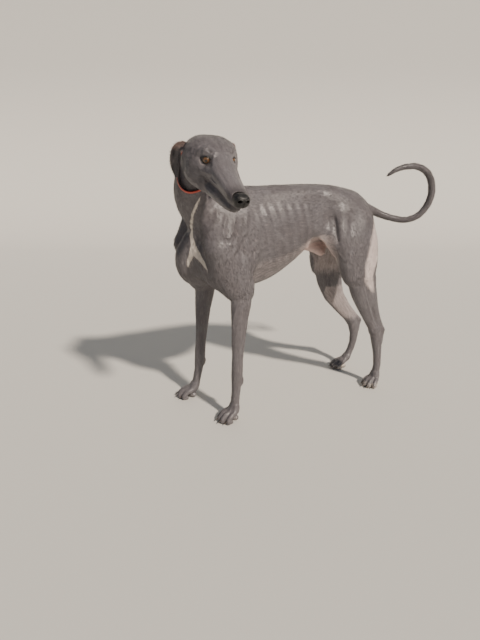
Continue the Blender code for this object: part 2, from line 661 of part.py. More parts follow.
def ball(name, radius, matrix, around=20):
    bm = bmesh.new()
    bmesh.ops.create_uvsphere(bm, u_segments=around, v_segments=around // 2 + 2, radius=radius, matrix=matrix)
    mesh = bpy.data.meshes.new(name)
    bm.to_mesh(mesh)
    bm.free()
    obj = bpy.data.objects.new(name, mesh)
    bpy.context.scene.collection.objects.link(obj)
    return obj


def unscaled_head():
    """The head's place and turn with no scale."""
    return head_matrix() @ Matrix.Scale(1 / HEAD_SCALE, 4)


def world(points, matrix):
    """Rows of points carried by a matrix."""
    m = np.array(matrix)
    return np.asarray(points, float) @ m[:3, :3].T + m[:3, 3]


def lid_path(side, upper):
    """An eyelid's edge: half an almond laid over the eyeball, in the head's axes."""
    half, above, below = LID_HALF
    x = np.linspace(-half, half, 11)
    height = (above if upper else -below) * (1 - (x / half) ** 2) ** 0.75
    deep = (EYE_R + 0.0008) * np.sqrt(np.maximum(1 - (x ** 2 + height ** 2) / (1.16 * EYE_R) ** 2, 0.10))
    return world(np.c_[x, -deep, height - 0.0004], eye_matrix(side))


def tube(name, path, radius, around=6):
    """A closed tube along a path, with a radius for each of its points."""
    rows = [(*p, r, r) for p, r in zip(path, radius)]
    shape = form(rows, side=(0.1, 0.3, 1))
    shape["cap"] = 0.8
    count = len(rows)
    pick = np.linspace(0, len(shape["centre"]) - 1, count).round().astype(int)
    for key in ("centre", "u", "v", "along", "a", "up", "down"):
        shape[key] = shape[key][pick]
    points, faces = form_mesh(shape, around)
    return new_object(name, points, faces)


def head_tube(name, path, radius, around=6):
    obj = tube(name, world(path, head_matrix()), np.asarray(radius) * HEAD_SCALE, around)
    return obj


def mouth_wedge(extra):
    """The region of the lower jaw: under the mouth's line and ahead of its corner."""
    (y1, z1), (y0, z0) = MOUTH_CORNER, MOUTH_FRONT
    t = np.linspace(0, 1, 9)
    top = np.c_[y0 + (y1 - y0) * t, z0 + (z1 - z0) * t - 0.0022 * np.sin(np.pi * t) + extra]
    top[-1, 0] += extra
    outline = np.r_[top, [(y1 + extra, -0.12), (y0, -0.12)]]
    n = len(outline)
    points = [(x, y, z) for x in (-0.07, 0.07) for y, z in outline]
    faces = [list(range(n)), [n + i for i in range(n)][::-1]]
    faces += [[i, i + n, (i + 1) % n + n, (i + 1) % n] for i in range(n)]
    obj = new_object("wedge", world(points, head_matrix()), faces)
    bm = bmesh.new()
    bm.from_mesh(obj.data)
    bmesh.ops.recalc_face_normals(bm, faces=bm.faces[:])
    bm.to_mesh(obj.data)
    bm.free()
    return obj


def nostril(side):
    """A comma-shaped opening, wide in front and drawn out to the side."""
    path = [(side * x, y, z) for x, y, z in (
        (0.0060, -0.158, -0.0235), (0.0066, -0.1515, -0.0240), (0.0085, -0.1480, -0.0255),
        (0.0125, -0.1465, -0.0290), (0.0185, -0.1440, -0.0310))]
    return head_tube("nostril", path, (0.0042, 0.0036, 0.0028, 0.0018, 0.0014), 8)


def ear(side):
    """A thin cupped flap: it leaves the skull backwards, folds over and hangs with its point down."""
    rows = spline([(side * x, y, z, half, math.radians(curl), side * ox, oy, oz) for
                   x, y, z, half, curl, ox, oy, oz in (
        (0.048, 0.067, 0.002, 0.0145, 92, 0.45, -0.75, 0.40),
        (0.060, 0.084, 0.001, 0.0165, 90, 0.45, -0.82, 0.30),
        (0.067, 0.096, -0.010, 0.0165, 78, 0.52, -0.84, 0.10),
        (0.069, 0.101, -0.033, 0.0155, 64, 0.58, -0.80, 0.00),
        (0.067, 0.099, -0.059, 0.0115, 50, 0.65, -0.75, 0.05),
        (0.064, 0.094, -0.080, 0.0035, 34, 0.72, -0.68, 0.05))], 15)
    centre, half, curl = rows[:, :3], rows[:, 3:4], rows[:, 4:5]
    along = unit(np.gradient(centre, axis=0))
    opens = rows[:, 5:8]
    opens = unit(opens - (opens * along).sum(1, keepdims=True) * along)
    across = np.cross(along, opens)
    turn = np.linspace(-1, 1, 9)[None, :, None]
    bend = (half / curl)[:, None]
    angle = curl[:, None] * turn
    sheets = []
    for thick in (0.5, -0.5):
        r = bend + thick * EAR_THICK / HEAD_SCALE
        sheets.append(centre[:, None] + (bend - r * np.cos(angle)) * opens[:, None]
                      + r * np.sin(angle) * across[:, None])
    rows_n, cols = sheets[0].shape[:2]
    outer = np.arange(rows_n * cols).reshape(rows_n, cols)
    inner = outer + rows_n * cols
    faces = []
    for grid, flip in ((outer, 1), (inner, -1)):
        quads = np.stack([grid[:-1, :-1], grid[1:, :-1], grid[1:, 1:], grid[:-1, 1:]], -1).reshape(-1, 4)
        faces += quads[:, ::flip].tolist()
    rim = np.r_[outer[0, :-1], outer[:-1, -1], outer[-1, :0:-1], outer[:0:-1, 0]]
    back = rim + rows_n * cols
    faces += [[a, b, d, c] for a, b, c, d in zip(rim, np.roll(rim, -1), back, np.roll(back, -1))]
    points = world(np.concatenate([sheet.reshape(-1, 3) for sheet in sheets]), head_matrix())
    obj = new_object("ear_left" if side > 0 else "ear_right", points, faces)
    bm = bmesh.new()
    bm.from_mesh(obj.data)
    bmesh.ops.recalc_face_normals(bm, faces=bm.faces[:])
    bmesh.ops.triangulate(bm, faces=bm.faces[:])
    bm.to_mesh(obj.data)
    bm.free()
    return obj


def collar_rings(shapes, around=44):
    """Points round the neck just off its skin, for each edge and the middle of the collar's band."""
    axis = Vector(COLLAR_AXIS).normalized()
    first = axis.cross(Vector((0, 0, 1))).normalized()
    second = axis.cross(first)
    angle = np.linspace(0, 2 * np.pi, around, endpoint=False)[:, None]
    way = np.cos(angle) * np.array(first) + np.sin(angle) * np.array(second)
    out = []
    for along in (-0.5, 0, 0.5):
        middle = np.array(COLLAR_PLACE) + along * COLLAR_WIDTH * np.array(axis)
        low, high = np.full((around, 1), 0.01), np.full((around, 1), 0.12)
        for _ in range(22):
            mid = (low + high) / 2
            outside = soft_union(shapes, middle + mid * way)[:, None] > 0.0011
            low, high = np.where(outside, low, mid), np.where(outside, mid, high)
        out.append((middle, way, low))
    level = (out[0][2] + out[1][2] + out[2][2]) / 3
    level = np.maximum(level, np.maximum(out[0][2], out[2][2]))
    return [(middle, way, level) for middle, way, _ in out]


def collar(shapes):
    """A flat band round the top of the neck, with a small keeper that holds the ring."""
    rings = collar_rings(shapes)
    around = len(rings[0][1])
    inner = [middle + level * way for middle, way, level in rings]
    outer = [middle + (level + thick) * way for (middle, way, level), thick in
             zip(rings, (COLLAR_THICK * 0.85, COLLAR_THICK, COLLAR_THICK * 0.85))]
    points = np.concatenate(inner + outer[::-1])
    faces = []
    for k in range(6):
        for j in range(around):
            a, b = k * around, (k + 1) % 6 * around
            faces.append([a + j, a + (j + 1) % around, b + (j + 1) % around, b + j])
    obj = new_object("collar", points, faces)
    bm = bmesh.new()
    bm.from_mesh(obj.data)
    bmesh.ops.recalc_face_normals(bm, faces=bm.faces[:])
    bm.to_mesh(obj.data)
    bm.free()
    return obj, rings[1]


def torus(name, place, axis, major, minor, around=20, tube_sides=8):
    turn = Vector(axis).normalized().to_track_quat("Z", "Y").to_matrix().to_4x4()
    points, faces = [], []
    for i in range(around):
        a = 2 * math.pi * i / around
        for j in range(tube_sides):
            b = 2 * math.pi * j / tube_sides
            r = major + minor * math.cos(b)
            points.append((r * math.cos(a), r * math.sin(a), minor * math.sin(b)))
            faces.append([i * tube_sides + j, (i + 1) % around * tube_sides + j,
                          (i + 1) % around * tube_sides + (j + 1) % tube_sides,
                          i * tube_sides + (j + 1) % tube_sides])
    return new_object(name, world(points, Matrix.Translation(place) @ turn), faces)


def claw(name, root, ahead, size):
    """A blunt curved claw, from inside the toe to just above the ground."""
    t = np.linspace(0, 1, 5)[:, None]
    drop = np.array((0, 0, 1.0))
    path = (np.array(root) + t * CLAW_LENGTH * size * np.array(ahead)
            - (0.15 * t + 0.42 * t * t) * CLAW_LENGTH * size * drop)
    return tube(name, path, CLAW_R * size * (1 - 0.72 * t[:, 0] ** 1.5), 6)


def paw(name, ankle, place, turn, size, leg):
    """Toes and pads with their claws, cut flat at the ground and at the top."""
    source = fused("paw_source", paw_forms(ankle, place, turn, size) + leg, PAW_VOXEL, PAW_TRIANGLES)
    obj = sliced(source, "paw_" + name, [facing(PAW_CUT, -1), ((0, 0, 0), (0, 0, -1))], (*place, 0.02))
    bpy.data.objects.remove(source)
    c, s = math.cos(turn), math.sin(turn)
    for across, reach, splay in ((-0.0205, 0.020, -0.006), (-0.0072, 0.033, -0.002),
                                 (0.0072, 0.033, 0.002), (0.0205, 0.020, 0.006)):
        x, y = across + splay, reach + 0.0065
        root = (place[0] + size * (c * x + s * y), place[1] + size * (s * x - c * y), size * 0.0150)
        boolean(obj, claw("claw", root, (s, -c, 0), size), "UNION")
    return obj


def finish(name, hexcolour, roughness, metallic=0.0):
    """A plain material in the colour of the photo, on the node of that name."""
    obj = bpy.data.objects[name]
    material = bpy.data.materials.new(name)
    material.use_nodes = True
    shader = material.node_tree.nodes["Principled BSDF"]
    value = [int(hexcolour[i:i + 2], 16) / 255 for i in (0, 2, 4)]
    shader.inputs["Base Color"].default_value = [c / 12.92 if c < 0.04 else ((c + 0.055) / 1.055) ** 2.4
                                                for c in value] + [1.0]
    shader.inputs["Roughness"].default_value = roughness
    shader.inputs["Metallic"].default_value = metallic
    obj.data.materials.clear()
    obj.data.materials.append(material)
    material.diffuse_color = shader.inputs["Base Color"].default_value


def body_nodes(limbs):
    """Torso, neck, legs and the three lengths of the tail, parted from one fused body."""
    flesh = fused("flesh", all_forms(), BODY_VOXEL, BODY_TRIANGLES)
    sliced(flesh, "torso", [facing(NECK_CUT, 1), facing(TAIL_CUT, 1), facing(LEG_CUT, 1)], (0, 0, 0.73))
    sliced(flesh, "neck", [facing(NECK_CUT, -1), facing(HEAD_CUT, 1)], (0.05, -0.36, 0.75))
    for name, near in (("leg_front_left", (0.1, -0.24, 0.3)), ("leg_front_right", (-0.1, -0.3, 0.3)),
                       ("leg_hind_left", (0.1, 0.24, 0.3)), ("leg_hind_right", (-0.1, 0.24, 0.3))):
        sliced(flesh, name, [facing(LEG_CUT, -1), facing(PAW_CUT, 1)], near)
    first, second = TAIL_CUTS
    sliced(flesh, "tail_base", [facing(TAIL_CUT, -1), facing(first, 1)], (0.01, 0.34, 0.64))
    sliced(flesh, "tail_middle", [facing(first, -1), facing(second, 1)], (0.12, 0.485, 0.70))
    sliced(flesh, "tail_tip", [facing(second, -1)], (0.12, 0.35, 0.797))
    bpy.data.objects.remove(flesh)
    for name, ankle, place, turn, size in paws():
        near = [f for f in limbs if (np.linalg.norm(f["centre"] - np.array(ankle), axis=1) < 0.05).any()]
        paw(name, ankle, place, turn, size, near)


def head_nodes(skull):
    """Head, jaw, nose, eyes and ears."""
    source = fused("head_source", skull, HEAD_VOXEL, HEAD_TRIANGLES, placed(head_hollows(), head_matrix()))
    head = sliced(source, "head", [facing(HEAD_CUT, -1)], HEAD_PLACE)
    bpy.data.objects.remove(source)
    for side in (1, -1):
        boolean(ear(side), swollen(head, "swollen", GAP), "DIFFERENCE")
        for upper in (True, False):
            path = lid_path(side, upper)
            lid = head_tube("lid", path, 0.0017 * np.sqrt(np.maximum(1 - np.linspace(-1, 1, 11) ** 6, 0.2)))
            boolean(head, lid, "UNION")
        place = head_matrix() @ eye_matrix(side) @ Matrix.Scale(1 / HEAD_SCALE, 4)
        boolean(head, ball("socket", EYE_R + GAP, place), "DIFFERENCE")
        ball("eye_left" if side > 0 else "eye_right", EYE_R, place)
    nose = fused("nose", placed(nose_forms(), head_matrix()), NOSE_VOXEL, NOSE_TRIANGLES)
    boolean(head, swollen(nose, "swollen", GAP), "DIFFERENCE")
    for side in (1, -1):
        boolean(nose, nostril(side), "DIFFERENCE")
    jaw = bpy.data.objects.new("jaw", head.data.copy())
    bpy.context.scene.collection.objects.link(jaw)
    boolean(jaw, mouth_wedge(0), "INTERSECT")
    boolean(head, mouth_wedge(GAP), "DIFFERENCE")


def collar_nodes(skull):
    """The band, with a keeper at the nape, and the ring that lies back over the neck."""
    band, (middle, way, level) = collar(skull)
    axis = np.array(Vector(COLLAR_AXIS).normalized())
    nape = int(np.argmax(way @ np.array((-0.6, 0.2, 0.77))))
    out = way[nape]
    hinge = np.cross(out, axis)
    spot = middle + (level[nape] + COLLAR_THICK / 2 + KEEPER_R) * out
    boolean(band, torus("keeper", spot, hinge, KEEPER_R, 0.0012, 14, 6), "UNION")
    turn = np.linspace(0, 2 * math.pi, 24)[:, None]
    for drop in np.linspace(1.0, -0.4, 57):
        lie = -math.cos(drop) * axis - math.sin(drop) * out
        middle = spot + RING_R * lie
        if soft_union(skull, middle + RING_R * (np.cos(turn) * lie + np.sin(turn) * hinge)).min() > RING_LIFT:
            break
    torus("collar_ring", middle, np.cross(hinge, lie), RING_R, RING_WIRE, 28, 8)


def main():
    for obj in list(bpy.data.objects):
        bpy.data.objects.remove(obj)
    limbs = limb_forms()
    skull = neck_forms() + placed(head_forms(), head_matrix())
    body_nodes(limbs)
    head_nodes(skull)
    collar_nodes(skull)
    collection = bpy.data.collections.new("greyhound")
    bpy.context.scene.collection.children.link(collection)
    low = np.min([coordinates(o.data).min(0) for o in bpy.data.objects], 0)
    high = np.max([coordinates(o.data).max(0) for o in bpy.data.objects], 0)
    shift = Vector((-(low[0] + high[0]) / 2, -(low[1] + high[1]) / 2, 0))
    for obj in list(bpy.data.objects):
        obj.data.transform(Matrix.Translation(shift))
        obj.data.polygons.foreach_set("use_smooth", [obj.name not in FLAT] * len(obj.data.polygons))
        bpy.context.scene.collection.objects.unlink(obj)
        collection.objects.link(obj)
        if obj.name not in ("collar", "collar_ring", "nose", "eye_left", "eye_right"):
            finish(obj.name, COAT, 0.55)
    finish("nose", "1B1A1D", 0.3)
    finish("eye_left", "8A5A32", 0.08)
    finish("eye_right", "8A5A32", 0.08)
    finish("collar", "D6421F", 0.6)
    finish("collar_ring", "C9CBCE", 0.25, 1.0)
    return shift


SHIFT = main()
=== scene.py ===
"""The looks of a standing greyhound at life size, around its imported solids.

The dog faces -Y, its left side is +X and +Z is up, in metres. Its skin is one surface drawn over the flesh
solids, with muscles, ribs, folds and veins raised in it, and it parts only under the collar. Eyes, lids,
nose, claws, whiskers, tufts of coat and the collar are pieces of their own. Shapes are worked out in the
dog's own axes, which start on the floor under its trunk.
"""

import math

import bmesh
import bpy
import numpy as np
from mathutils import Matrix, Vector
from mathutils.bvhtree import BVHTree


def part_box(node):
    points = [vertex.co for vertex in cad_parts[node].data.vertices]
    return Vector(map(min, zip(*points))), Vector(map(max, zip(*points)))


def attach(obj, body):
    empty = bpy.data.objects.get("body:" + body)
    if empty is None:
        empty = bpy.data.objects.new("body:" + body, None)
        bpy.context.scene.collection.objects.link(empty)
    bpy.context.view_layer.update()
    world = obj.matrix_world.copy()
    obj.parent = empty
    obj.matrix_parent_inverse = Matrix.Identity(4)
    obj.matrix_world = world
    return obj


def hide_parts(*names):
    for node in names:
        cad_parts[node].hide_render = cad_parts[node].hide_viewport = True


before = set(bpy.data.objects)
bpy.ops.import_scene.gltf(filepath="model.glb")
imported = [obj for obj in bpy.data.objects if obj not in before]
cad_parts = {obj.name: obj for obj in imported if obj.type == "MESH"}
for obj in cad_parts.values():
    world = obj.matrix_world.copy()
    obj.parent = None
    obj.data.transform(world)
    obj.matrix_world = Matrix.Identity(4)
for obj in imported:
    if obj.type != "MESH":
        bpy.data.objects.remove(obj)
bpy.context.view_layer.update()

RANDOM = np.random.default_rng(11)

# Sizes of the real dog, in metres
EYE_R = 0.0118
EYE_PLACE = (0.0288, 0.004, 0.0030)
EYE_TURN = math.radians(31)
LID_HALF = (0.0124, 0.0078, 0.0068)
HEAD_SCALE = 1.05
HEAD_PLACE = np.array((0.260, -0.368, 0.808))
HEAD_YAW, HEAD_PITCH, HEAD_ROLL = (math.radians(a) for a in (90, 22.5, 1.5))
MOUTH_CORNER = (-0.040, -0.0515)
MOUTH_FRONT = (-0.165, -0.0455)
COAT_DEPTH = 0.0006
COLLAR_PLACE = np.array((0.096, -0.364, 0.789))
COLLAR_AXIS = np.array((0.87, -0.30, 0.34))
COLLAR_AXIS = COLLAR_AXIS / np.linalg.norm(COLLAR_AXIS)
COLLAR_WIDTH = 0.015
RING_R, RING_WIRE, KEEPER_R = 0.0115, 0.0013, 0.0042
CLAW_LENGTH, CLAW_R = 0.013, 0.0024
TOES = ((-0.0205, 0.020, -0.006), (-0.0072, 0.033, -0.002), (0.0072, 0.033, 0.002), (0.0205, 0.020, 0.006))
PAWS = {
    "front_left": ((0.106, -0.276), 6, 1.0),
    "front_right": ((-0.108, -0.346), -14, 1.0),
    "hind_left": ((0.094, 0.318), 16, 0.94),
    "hind_right": ((-0.094, 0.306), -4, 0.94),
}
TAIL = np.array((
    (0.000, 0.255, 0.668), (0.000, 0.300, 0.655), (0.012, 0.352, 0.633), (0.038, 0.394, 0.618),
    (0.064, 0.430, 0.615), (0.086, 0.458, 0.630), (0.102, 0.475, 0.660), (0.114, 0.480, 0.698),
    (0.122, 0.468, 0.738), (0.128, 0.438, 0.774), (0.129, 0.392, 0.794), (0.125, 0.346, 0.795),
    (0.118, 0.310, 0.785), (0.112, 0.288, 0.771)))
CAMERA_PLACE = np.array((1.353, -0.812, 0.800))
CAMERA_HEADING = (-0.9097, 0.4152)
CAMERA_DOWN = math.radians(18.43)
SUN_FROM = (0.92, 0.255, 0.80)

# Voxels that the skin is drawn over the solids with
BODY_VOXEL = 0.0022
HEAD_VOXEL = 0.0012
SKIN_TRIANGLES = 192000
# Stands for a place that no eye is near, in lids' openings or eye radii
FAR_OFF = 99.0


def turn_matrix():
    turn = (Matrix.Rotation(HEAD_YAW, 3, "Z") @ Matrix.Rotation(HEAD_PITCH, 3, "X")
            @ Matrix.Rotation(HEAD_ROLL, 3, "Y"))
    return np.array(turn)


def box_middle(node):
    return np.array(sum(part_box(node), Vector())) / 2


HEAD_TURN = turn_matrix()
EYES_MIDDLE = np.array((0.0, EYE_PLACE[1], EYE_PLACE[2])) * HEAD_SCALE
# Where the dog's own axes start, in the frame
ORIGIN = (box_middle("eye_left") + box_middle("eye_right")) / 2 - (HEAD_PLACE + HEAD_TURN @ EYES_MIDDLE)
ORIGIN[2] = 0.0


def head_points(points):
    """Points in the head's own axes: eyes at y = 0 and z = 0, nose towards -y, before the head's scale."""
    return (points - HEAD_PLACE) @ HEAD_TURN / HEAD_SCALE


def from_head(points):
    return np.asarray(points, float) @ HEAD_TURN.T * HEAD_SCALE + HEAD_PLACE


def unit(v):
    return v / np.maximum(np.linalg.norm(v, axis=-1, keepdims=True), 1e-12)


def smooth(low, high, values):
    """0 below low, 1 above high, and an S-shaped step between."""
    t = np.clip((values - low) / (high - low), 0, 1)
    return t * t * (3 - 2 * t)


def spline(rows, count):
    """count points on a smooth curve through the rows, by cubic pieces that follow their neighbours."""
    rows = np.asarray(rows, float)
    at = np.linspace(0, len(rows) - 1, count)
    i = np.minimum(at.astype(int), len(rows) - 2)
    t = (at - i)[:, None]
    slope = np.gradient(rows, axis=0)
    a, b, ma, mb = rows[i], rows[i + 1], slope[i], slope[i + 1]
    return ((2 * t ** 3 - 3 * t ** 2 + 1) * a + (t ** 3 - 2 * t ** 2 + t) * ma
            + (-2 * t ** 3 + 3 * t ** 2) * b + (t ** 3 - t ** 2) * mb)


def to_path(points, path):
    """How far each point is from a line of points, and how far along it the nearest place is, from 0 to 1."""
    path = np.asarray(path, float)
    lengths = np.linalg.norm(np.diff(path, axis=0), axis=1)
    start = np.concatenate([[0], np.cumsum(lengths)])
    best = np.full(len(points), 1e9)
    place = np.zeros(len(points))
    for a, b, s, size in zip(path[:-1], path[1:], start, lengths):
        t = np.clip((points - a) @ (b - a) / size ** 2, 0, 1)
        gap = np.linalg.norm(points - a - t[:, None] * (b - a), axis=1)
        nearer = gap < best
        best[nearer] = gap[nearer]
        place[nearer] = (s + t * size)[nearer] / start[-1]
    return best, place


def vertex_normals(points, faces):
    """Each vertex's normal: the area-weighted mean of its faces' normals, from two edges or the diagonals."""
    last = faces.shape[1] - 1
    a, b, c, d = (points[faces[:, k]] for k in (0, 1, 2, last))
    normal = np.cross(b - a, c - a) if last == 2 else np.cross(c - a, d - b)
    total = np.zeros_like(points)
    for corner in range(last + 1):
        for k in range(3):
            total[:, k] += np.bincount(faces[:, corner], normal[:, k], len(points))
    return unit(total)


def read_mesh(mesh, sides):
    points = np.empty(len(mesh.vertices) * 3, np.float32)
    mesh.vertices.foreach_get("co", points)
    faces = np.empty(len(mesh.loops), np.int32)
    mesh.loops.foreach_get("vertex_index", faces)
    return points.reshape(-1, 3).astype(float) - ORIGIN, faces.reshape(-1, sides)


def solid_surface(node, puff=0.0):
    """One solid's points and triangles, its doubled corners merged, pushed out along its normals."""
    points, faces = read_mesh(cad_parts[node].data, 3)
    _, first, index = np.unique(np.round(points, 6), axis=0, return_index=True, return_inverse=True)
    points, faces = points[first], index.reshape(-1)[faces]
    return points + puff * vertex_normals(points, faces), faces


def new_object(name, points, faces):
    """A smooth-shaded mesh from points in the dog's axes."""
    mesh = bpy.data.meshes.new(name)
    faces = faces.tolist() if isinstance(faces, np.ndarray) else faces
    mesh.from_pydata((np.asarray(points) + ORIGIN).tolist(), [], faces)
    mesh.update()
    mesh.polygons.foreach_set("use_smooth", [True] * len(mesh.polygons))
    obj = bpy.data.objects.new(name, mesh)
    bpy.context.scene.collection.objects.link(obj)
    return obj


def applied(obj):
    graph = bpy.context.evaluated_depsgraph_get()
    mesh = bpy.data.meshes.new_from_object(obj.evaluated_get(graph))
    old = obj.data
    obj.modifiers.clear()
    obj.data = mesh
    bpy.data.meshes.remove(old)
    return obj


def values_on(obj, name, values):
    """Puts a number or a vector on each point of a mesh, for its material to read."""
    kind, key = ("FLOAT_VECTOR", "vector") if np.ndim(values) == 2 else ("FLOAT", "value")
    layer = obj.data.attributes.new(name, kind, "POINT")
    layer.data.foreach_set(key, np.ascontiguousarray(values, np.float32).ravel())


def tube_mesh(grid):
    """A closed tube or ball from a grid of rings: rows run along it, columns round it, each end is a point."""
    rows, cols = grid.shape[:2]
    points = np.concatenate([grid.reshape(-1, 3), grid[:1].mean(1), grid[-1:].mean(1)])
    index = np.arange(rows * cols).reshape(rows, cols)
    turned = np.roll(index, -1, axis=1)
    quads = np.stack([index[:-1], turned[:-1], turned[1:], index[1:]], -1).reshape(-1, 4)
    first = np.stack([turned[0], index[0], np.full(cols, rows * cols)], -1)
    last = np.stack([index[-1], turned[-1], np.full(cols, rows * cols + 1)], -1)
    return points, outward(points, quads.tolist() + first.tolist() + last.tolist())


def ring_mesh(grid):
    """A closed loop of tube: rows run round the loop and columns round the tube, and both join up."""
    rows, cols = grid.shape[:2]
    index = np.arange(rows * cols).reshape(rows, cols)
    across = np.roll(index, -1, axis=1)
    quads = np.stack([index, across, np.roll(across, -1, axis=0), np.roll(index, -1, axis=0)], -1)
    points = grid.reshape(-1, 3)
    return points, outward(points, quads.reshape(-1, 4).tolist())


def outward(points, faces):
    """The faces turned so that the volume that their first three corners close is positive."""
    corners = points[np.array([face[:3] for face in faces])]
    middle = points.mean(0)
    volume = np.linalg.det(corners - middle).sum()
    return faces if volume > 0 else [face[::-1] for face in faces]


def tube_along(path, radius, around=8, flat=1.0):
    """Rings round a path: each ring lies across it, radius wide and flat times that thick."""
    path = np.asarray(path, float)
    ahead = unit(np.gradient(path, axis=0))
    side = unit(np.cross(ahead, np.array((0.13, 0.21, 0.97))))
    up = np.cross(side, ahead)
    turn = np.linspace(0, 2 * np.pi, around, endpoint=False)[None, :, None]
    radius = np.broadcast_to(radius, len(path))[:, None, None]
    return path[:, None] + radius * (np.cos(turn) * side[:, None] + flat * np.sin(turn) * up[:, None])


def linear(hexcolour):
    """An sRGB hex colour as the linear colour that a socket takes."""
    parts = [int(hexcolour[i:i + 2], 16) / 255 for i in (0, 2, 4)]
    return tuple(c / 12.92 if c <= 0.04045 else ((c + 0.055) / 1.055) ** 2.4 for c in parts) + (1.0,)


def add(tree, kind, settings=None, inputs=(), out=0):
    """Adds a node with its own settings, gives each listed or named input a value or another node's output,
    and returns the output asked for."""
    node = tree.nodes.new("ShaderNode" + kind)
    for key, value in (settings or {}).items():
        setattr(node, key, value)
    for key, value in inputs.items() if isinstance(inputs, dict) else enumerate(inputs):
        if isinstance(value, bpy.types.NodeSocket):
            tree.links.new(value, node.inputs[key])
        else:
            node.inputs[key].default_value = value
    return node.outputs[out]


def material(name, **values):
    """A Principled material, with what is the same all over set on the shader's own sockets."""
    mat = bpy.data.materials.new(name)
    mat.use_nodes = True
    shader = mat.node_tree.nodes["Principled BSDF"]
    for key, value in values.items():
        shader.inputs[key.replace("_", " ")].default_value = value
    return mat, mat.node_tree, shader


MULTIPLY, ADD, SUBTRACT = {"operation": "MULTIPLY"}, {"operation": "ADD"}, {"operation": "SUBTRACT"}
COLOURS = {"data_type": "RGBA"}


def coat_material():
    """Short blue-grey coat on thin skin: each hair is a fine glossy cylinder that lies flat, so the eye gets
    a soft satin with streaks along the lie, warm where the skin shows pink and lighter where the hair is white."""
    mat, tree, shader = material("short_coat", Specular_IOR_Level=0.42, Sheen_Weight=0.07,
                                 Sheen_Roughness=0.35, Sheen_Tint=linear("A9A6AA"))
    place = add(tree, "TexCoord", out="Object")
    lie = add(tree, "Attribute", {"attribute_name": "lie"}, out="Vector")
    # Hair is 0.06 mm wide, too fine to show, so its streaks are drawn 1.1 mm wide and 13 mm long
    lanes = add(tree, "Mapping", inputs={"Vector": lie, "Scale": (76, 900, 900)})
    fine = add(tree, "TexNoise", inputs={"Vector": lanes, "Scale": 1.0, "Detail": 2.0})
    lanes = add(tree, "Mapping", inputs={"Vector": lie, "Scale": (26, 170, 170)})
    broad = add(tree, "TexNoise", inputs={"Vector": lanes, "Scale": 1.0, "Detail": 3.0})
    cloud = add(tree, "TexNoise", inputs={"Vector": place, "Scale": 13.0, "Detail": 4.0})
    # Where two colours meet, single hairs of each lie over the other
    both = add(tree, "Math", ADD, (fine, broad))
    ragged = add(tree, "Math", {"operation": "MULTIPLY_ADD"}, (both, 0.5, -0.5))
    colour = add(tree, "Mix", COLOURS, {0: add(tree, "MapRange", inputs=(fine, 0.32, 0.70)),
                                        6: linear("535054"), 7: linear("706C6E")}, 2)
    colour = add(tree, "Mix", COLOURS, {0: add(tree, "MapRange", inputs=(broad, 0.40, 0.64, 0.0, 0.22)),
                                        6: colour, 7: linear("807D82")}, 2)
    colour = add(tree, "Mix", COLOURS, {0: add(tree, "MapRange", inputs=(cloud, 0.40, 0.62, 0.0, 0.35)),
                                        6: colour, 7: linear("544D4F")}, 2)
    # The dark layer also holds painted shade under the folds round each eye, and the pale layer painted sunlight
    # on the backs of the thighs and a painted highlight on each lower lid; the rest of both is the coat's own
    # colour
    for layer, low, high, most, tint in (
            ("dark", 0.0, 1.0, 1.0, "262224"), ("pale", 0.1, 0.9, 0.9, "D3C4C0"),
            ("pink", 0.1, 0.9, 0.85, "D6B0A6"), ("white", 0.35, 0.65, 1.0, "D9CFC4")):
        value = add(tree, "Attribute", {"attribute_name": layer}, out="Fac")
        value = add(tree, "Math", ADD, (value, ragged)) if layer != "dark" else value
        share = add(tree, "MapRange", inputs=(value, low, high, 0.0, most))
        colour = add(tree, "Mix", COLOURS, {0: share, 6: colour, 7: linear(tint)}, 2)
    shade = add(tree, "Attribute", {"attribute_name": "shade"}, out="Fac")
    colour = add(tree, "Mix", COLOURS, {0: shade, 6: colour, 7: linear("322E30")}, 2)
    tree.links.new(colour, shader.inputs["Base Color"])
    pores = add(tree, "TexNoise", inputs={"Vector": place, "Scale": 420.0, "Detail": 2.0})
    grain = add(tree, "Math", {"operation": "MULTIPLY_ADD"}, (pores, 0.5, fine))
    bump = add(tree, "Bump", inputs={"Height": grain, "Strength": 0.5, "Distance": 0.0005})
    tree.links.new(bump, shader.inputs["Normal"])
    tree.links.new(add(tree, "MapRange", inputs=(cloud, 0.35, 0.65, 0.36, 0.46)), shader.inputs["Roughness"])
    return mat


def eye_material():
    """A living eye: a clear wet cornea over an amber iris of radial fibres, a dark ring and the pupil."""
    mat, tree, shader = material("amber_eye", Roughness=0.30, Coat_Weight=1.0, Coat_Roughness=0.02,
                                 Coat_IOR=1.38)
    gaze = add(tree, "Attribute", {"attribute_name": "gaze"}, out="Fac")
    spoke = add(tree, "Attribute", {"attribute_name": "spoke"}, out="Vector")
    lanes = add(tree, "Mapping", inputs={"Vector": spoke, "Scale": (9, 9, 0.035)})
    fibre = add(tree, "TexNoise", inputs={"Vector": lanes, "Scale": 1.0, "Detail": 4.0, "Roughness": 0.62})
    wavy = add(tree, "Math", {"operation": "MULTIPLY_ADD"}, (fibre, 5.0, gaze))
    edge = add(tree, "Math", {"operation": "MULTIPLY_ADD"}, (fibre, 1.2, gaze))
    colour = add(tree, "Mix", COLOURS, {0: add(tree, "MapRange", inputs=(fibre, 0.34, 0.66)),
                                        6: linear("3E2718"), 7: linear("82603F")}, 2)
    inner = add(tree, "MapRange", inputs=(gaze, 24.0, 14.0, 0.0, 0.6))
    for value, low, high, tint in ((inner, 0, 1, "56371F"), (wavy, 42, 50, "120C0A"), (gaze, 51, 58, "6A574B")):
        share = add(tree, "MapRange", inputs=(value, low, high))
        colour = add(tree, "Mix", COLOURS, {0: share, 6: colour, 7: linear(tint)}, 2)
    share = add(tree, "MapRange", inputs=(edge, 14.5, 13.5))
    colour = add(tree, "Mix", COLOURS, {0: share, 6: colour, 7: linear("040304")}, 2)
    tree.links.new(colour, shader.inputs["Base Color"])
    return mat


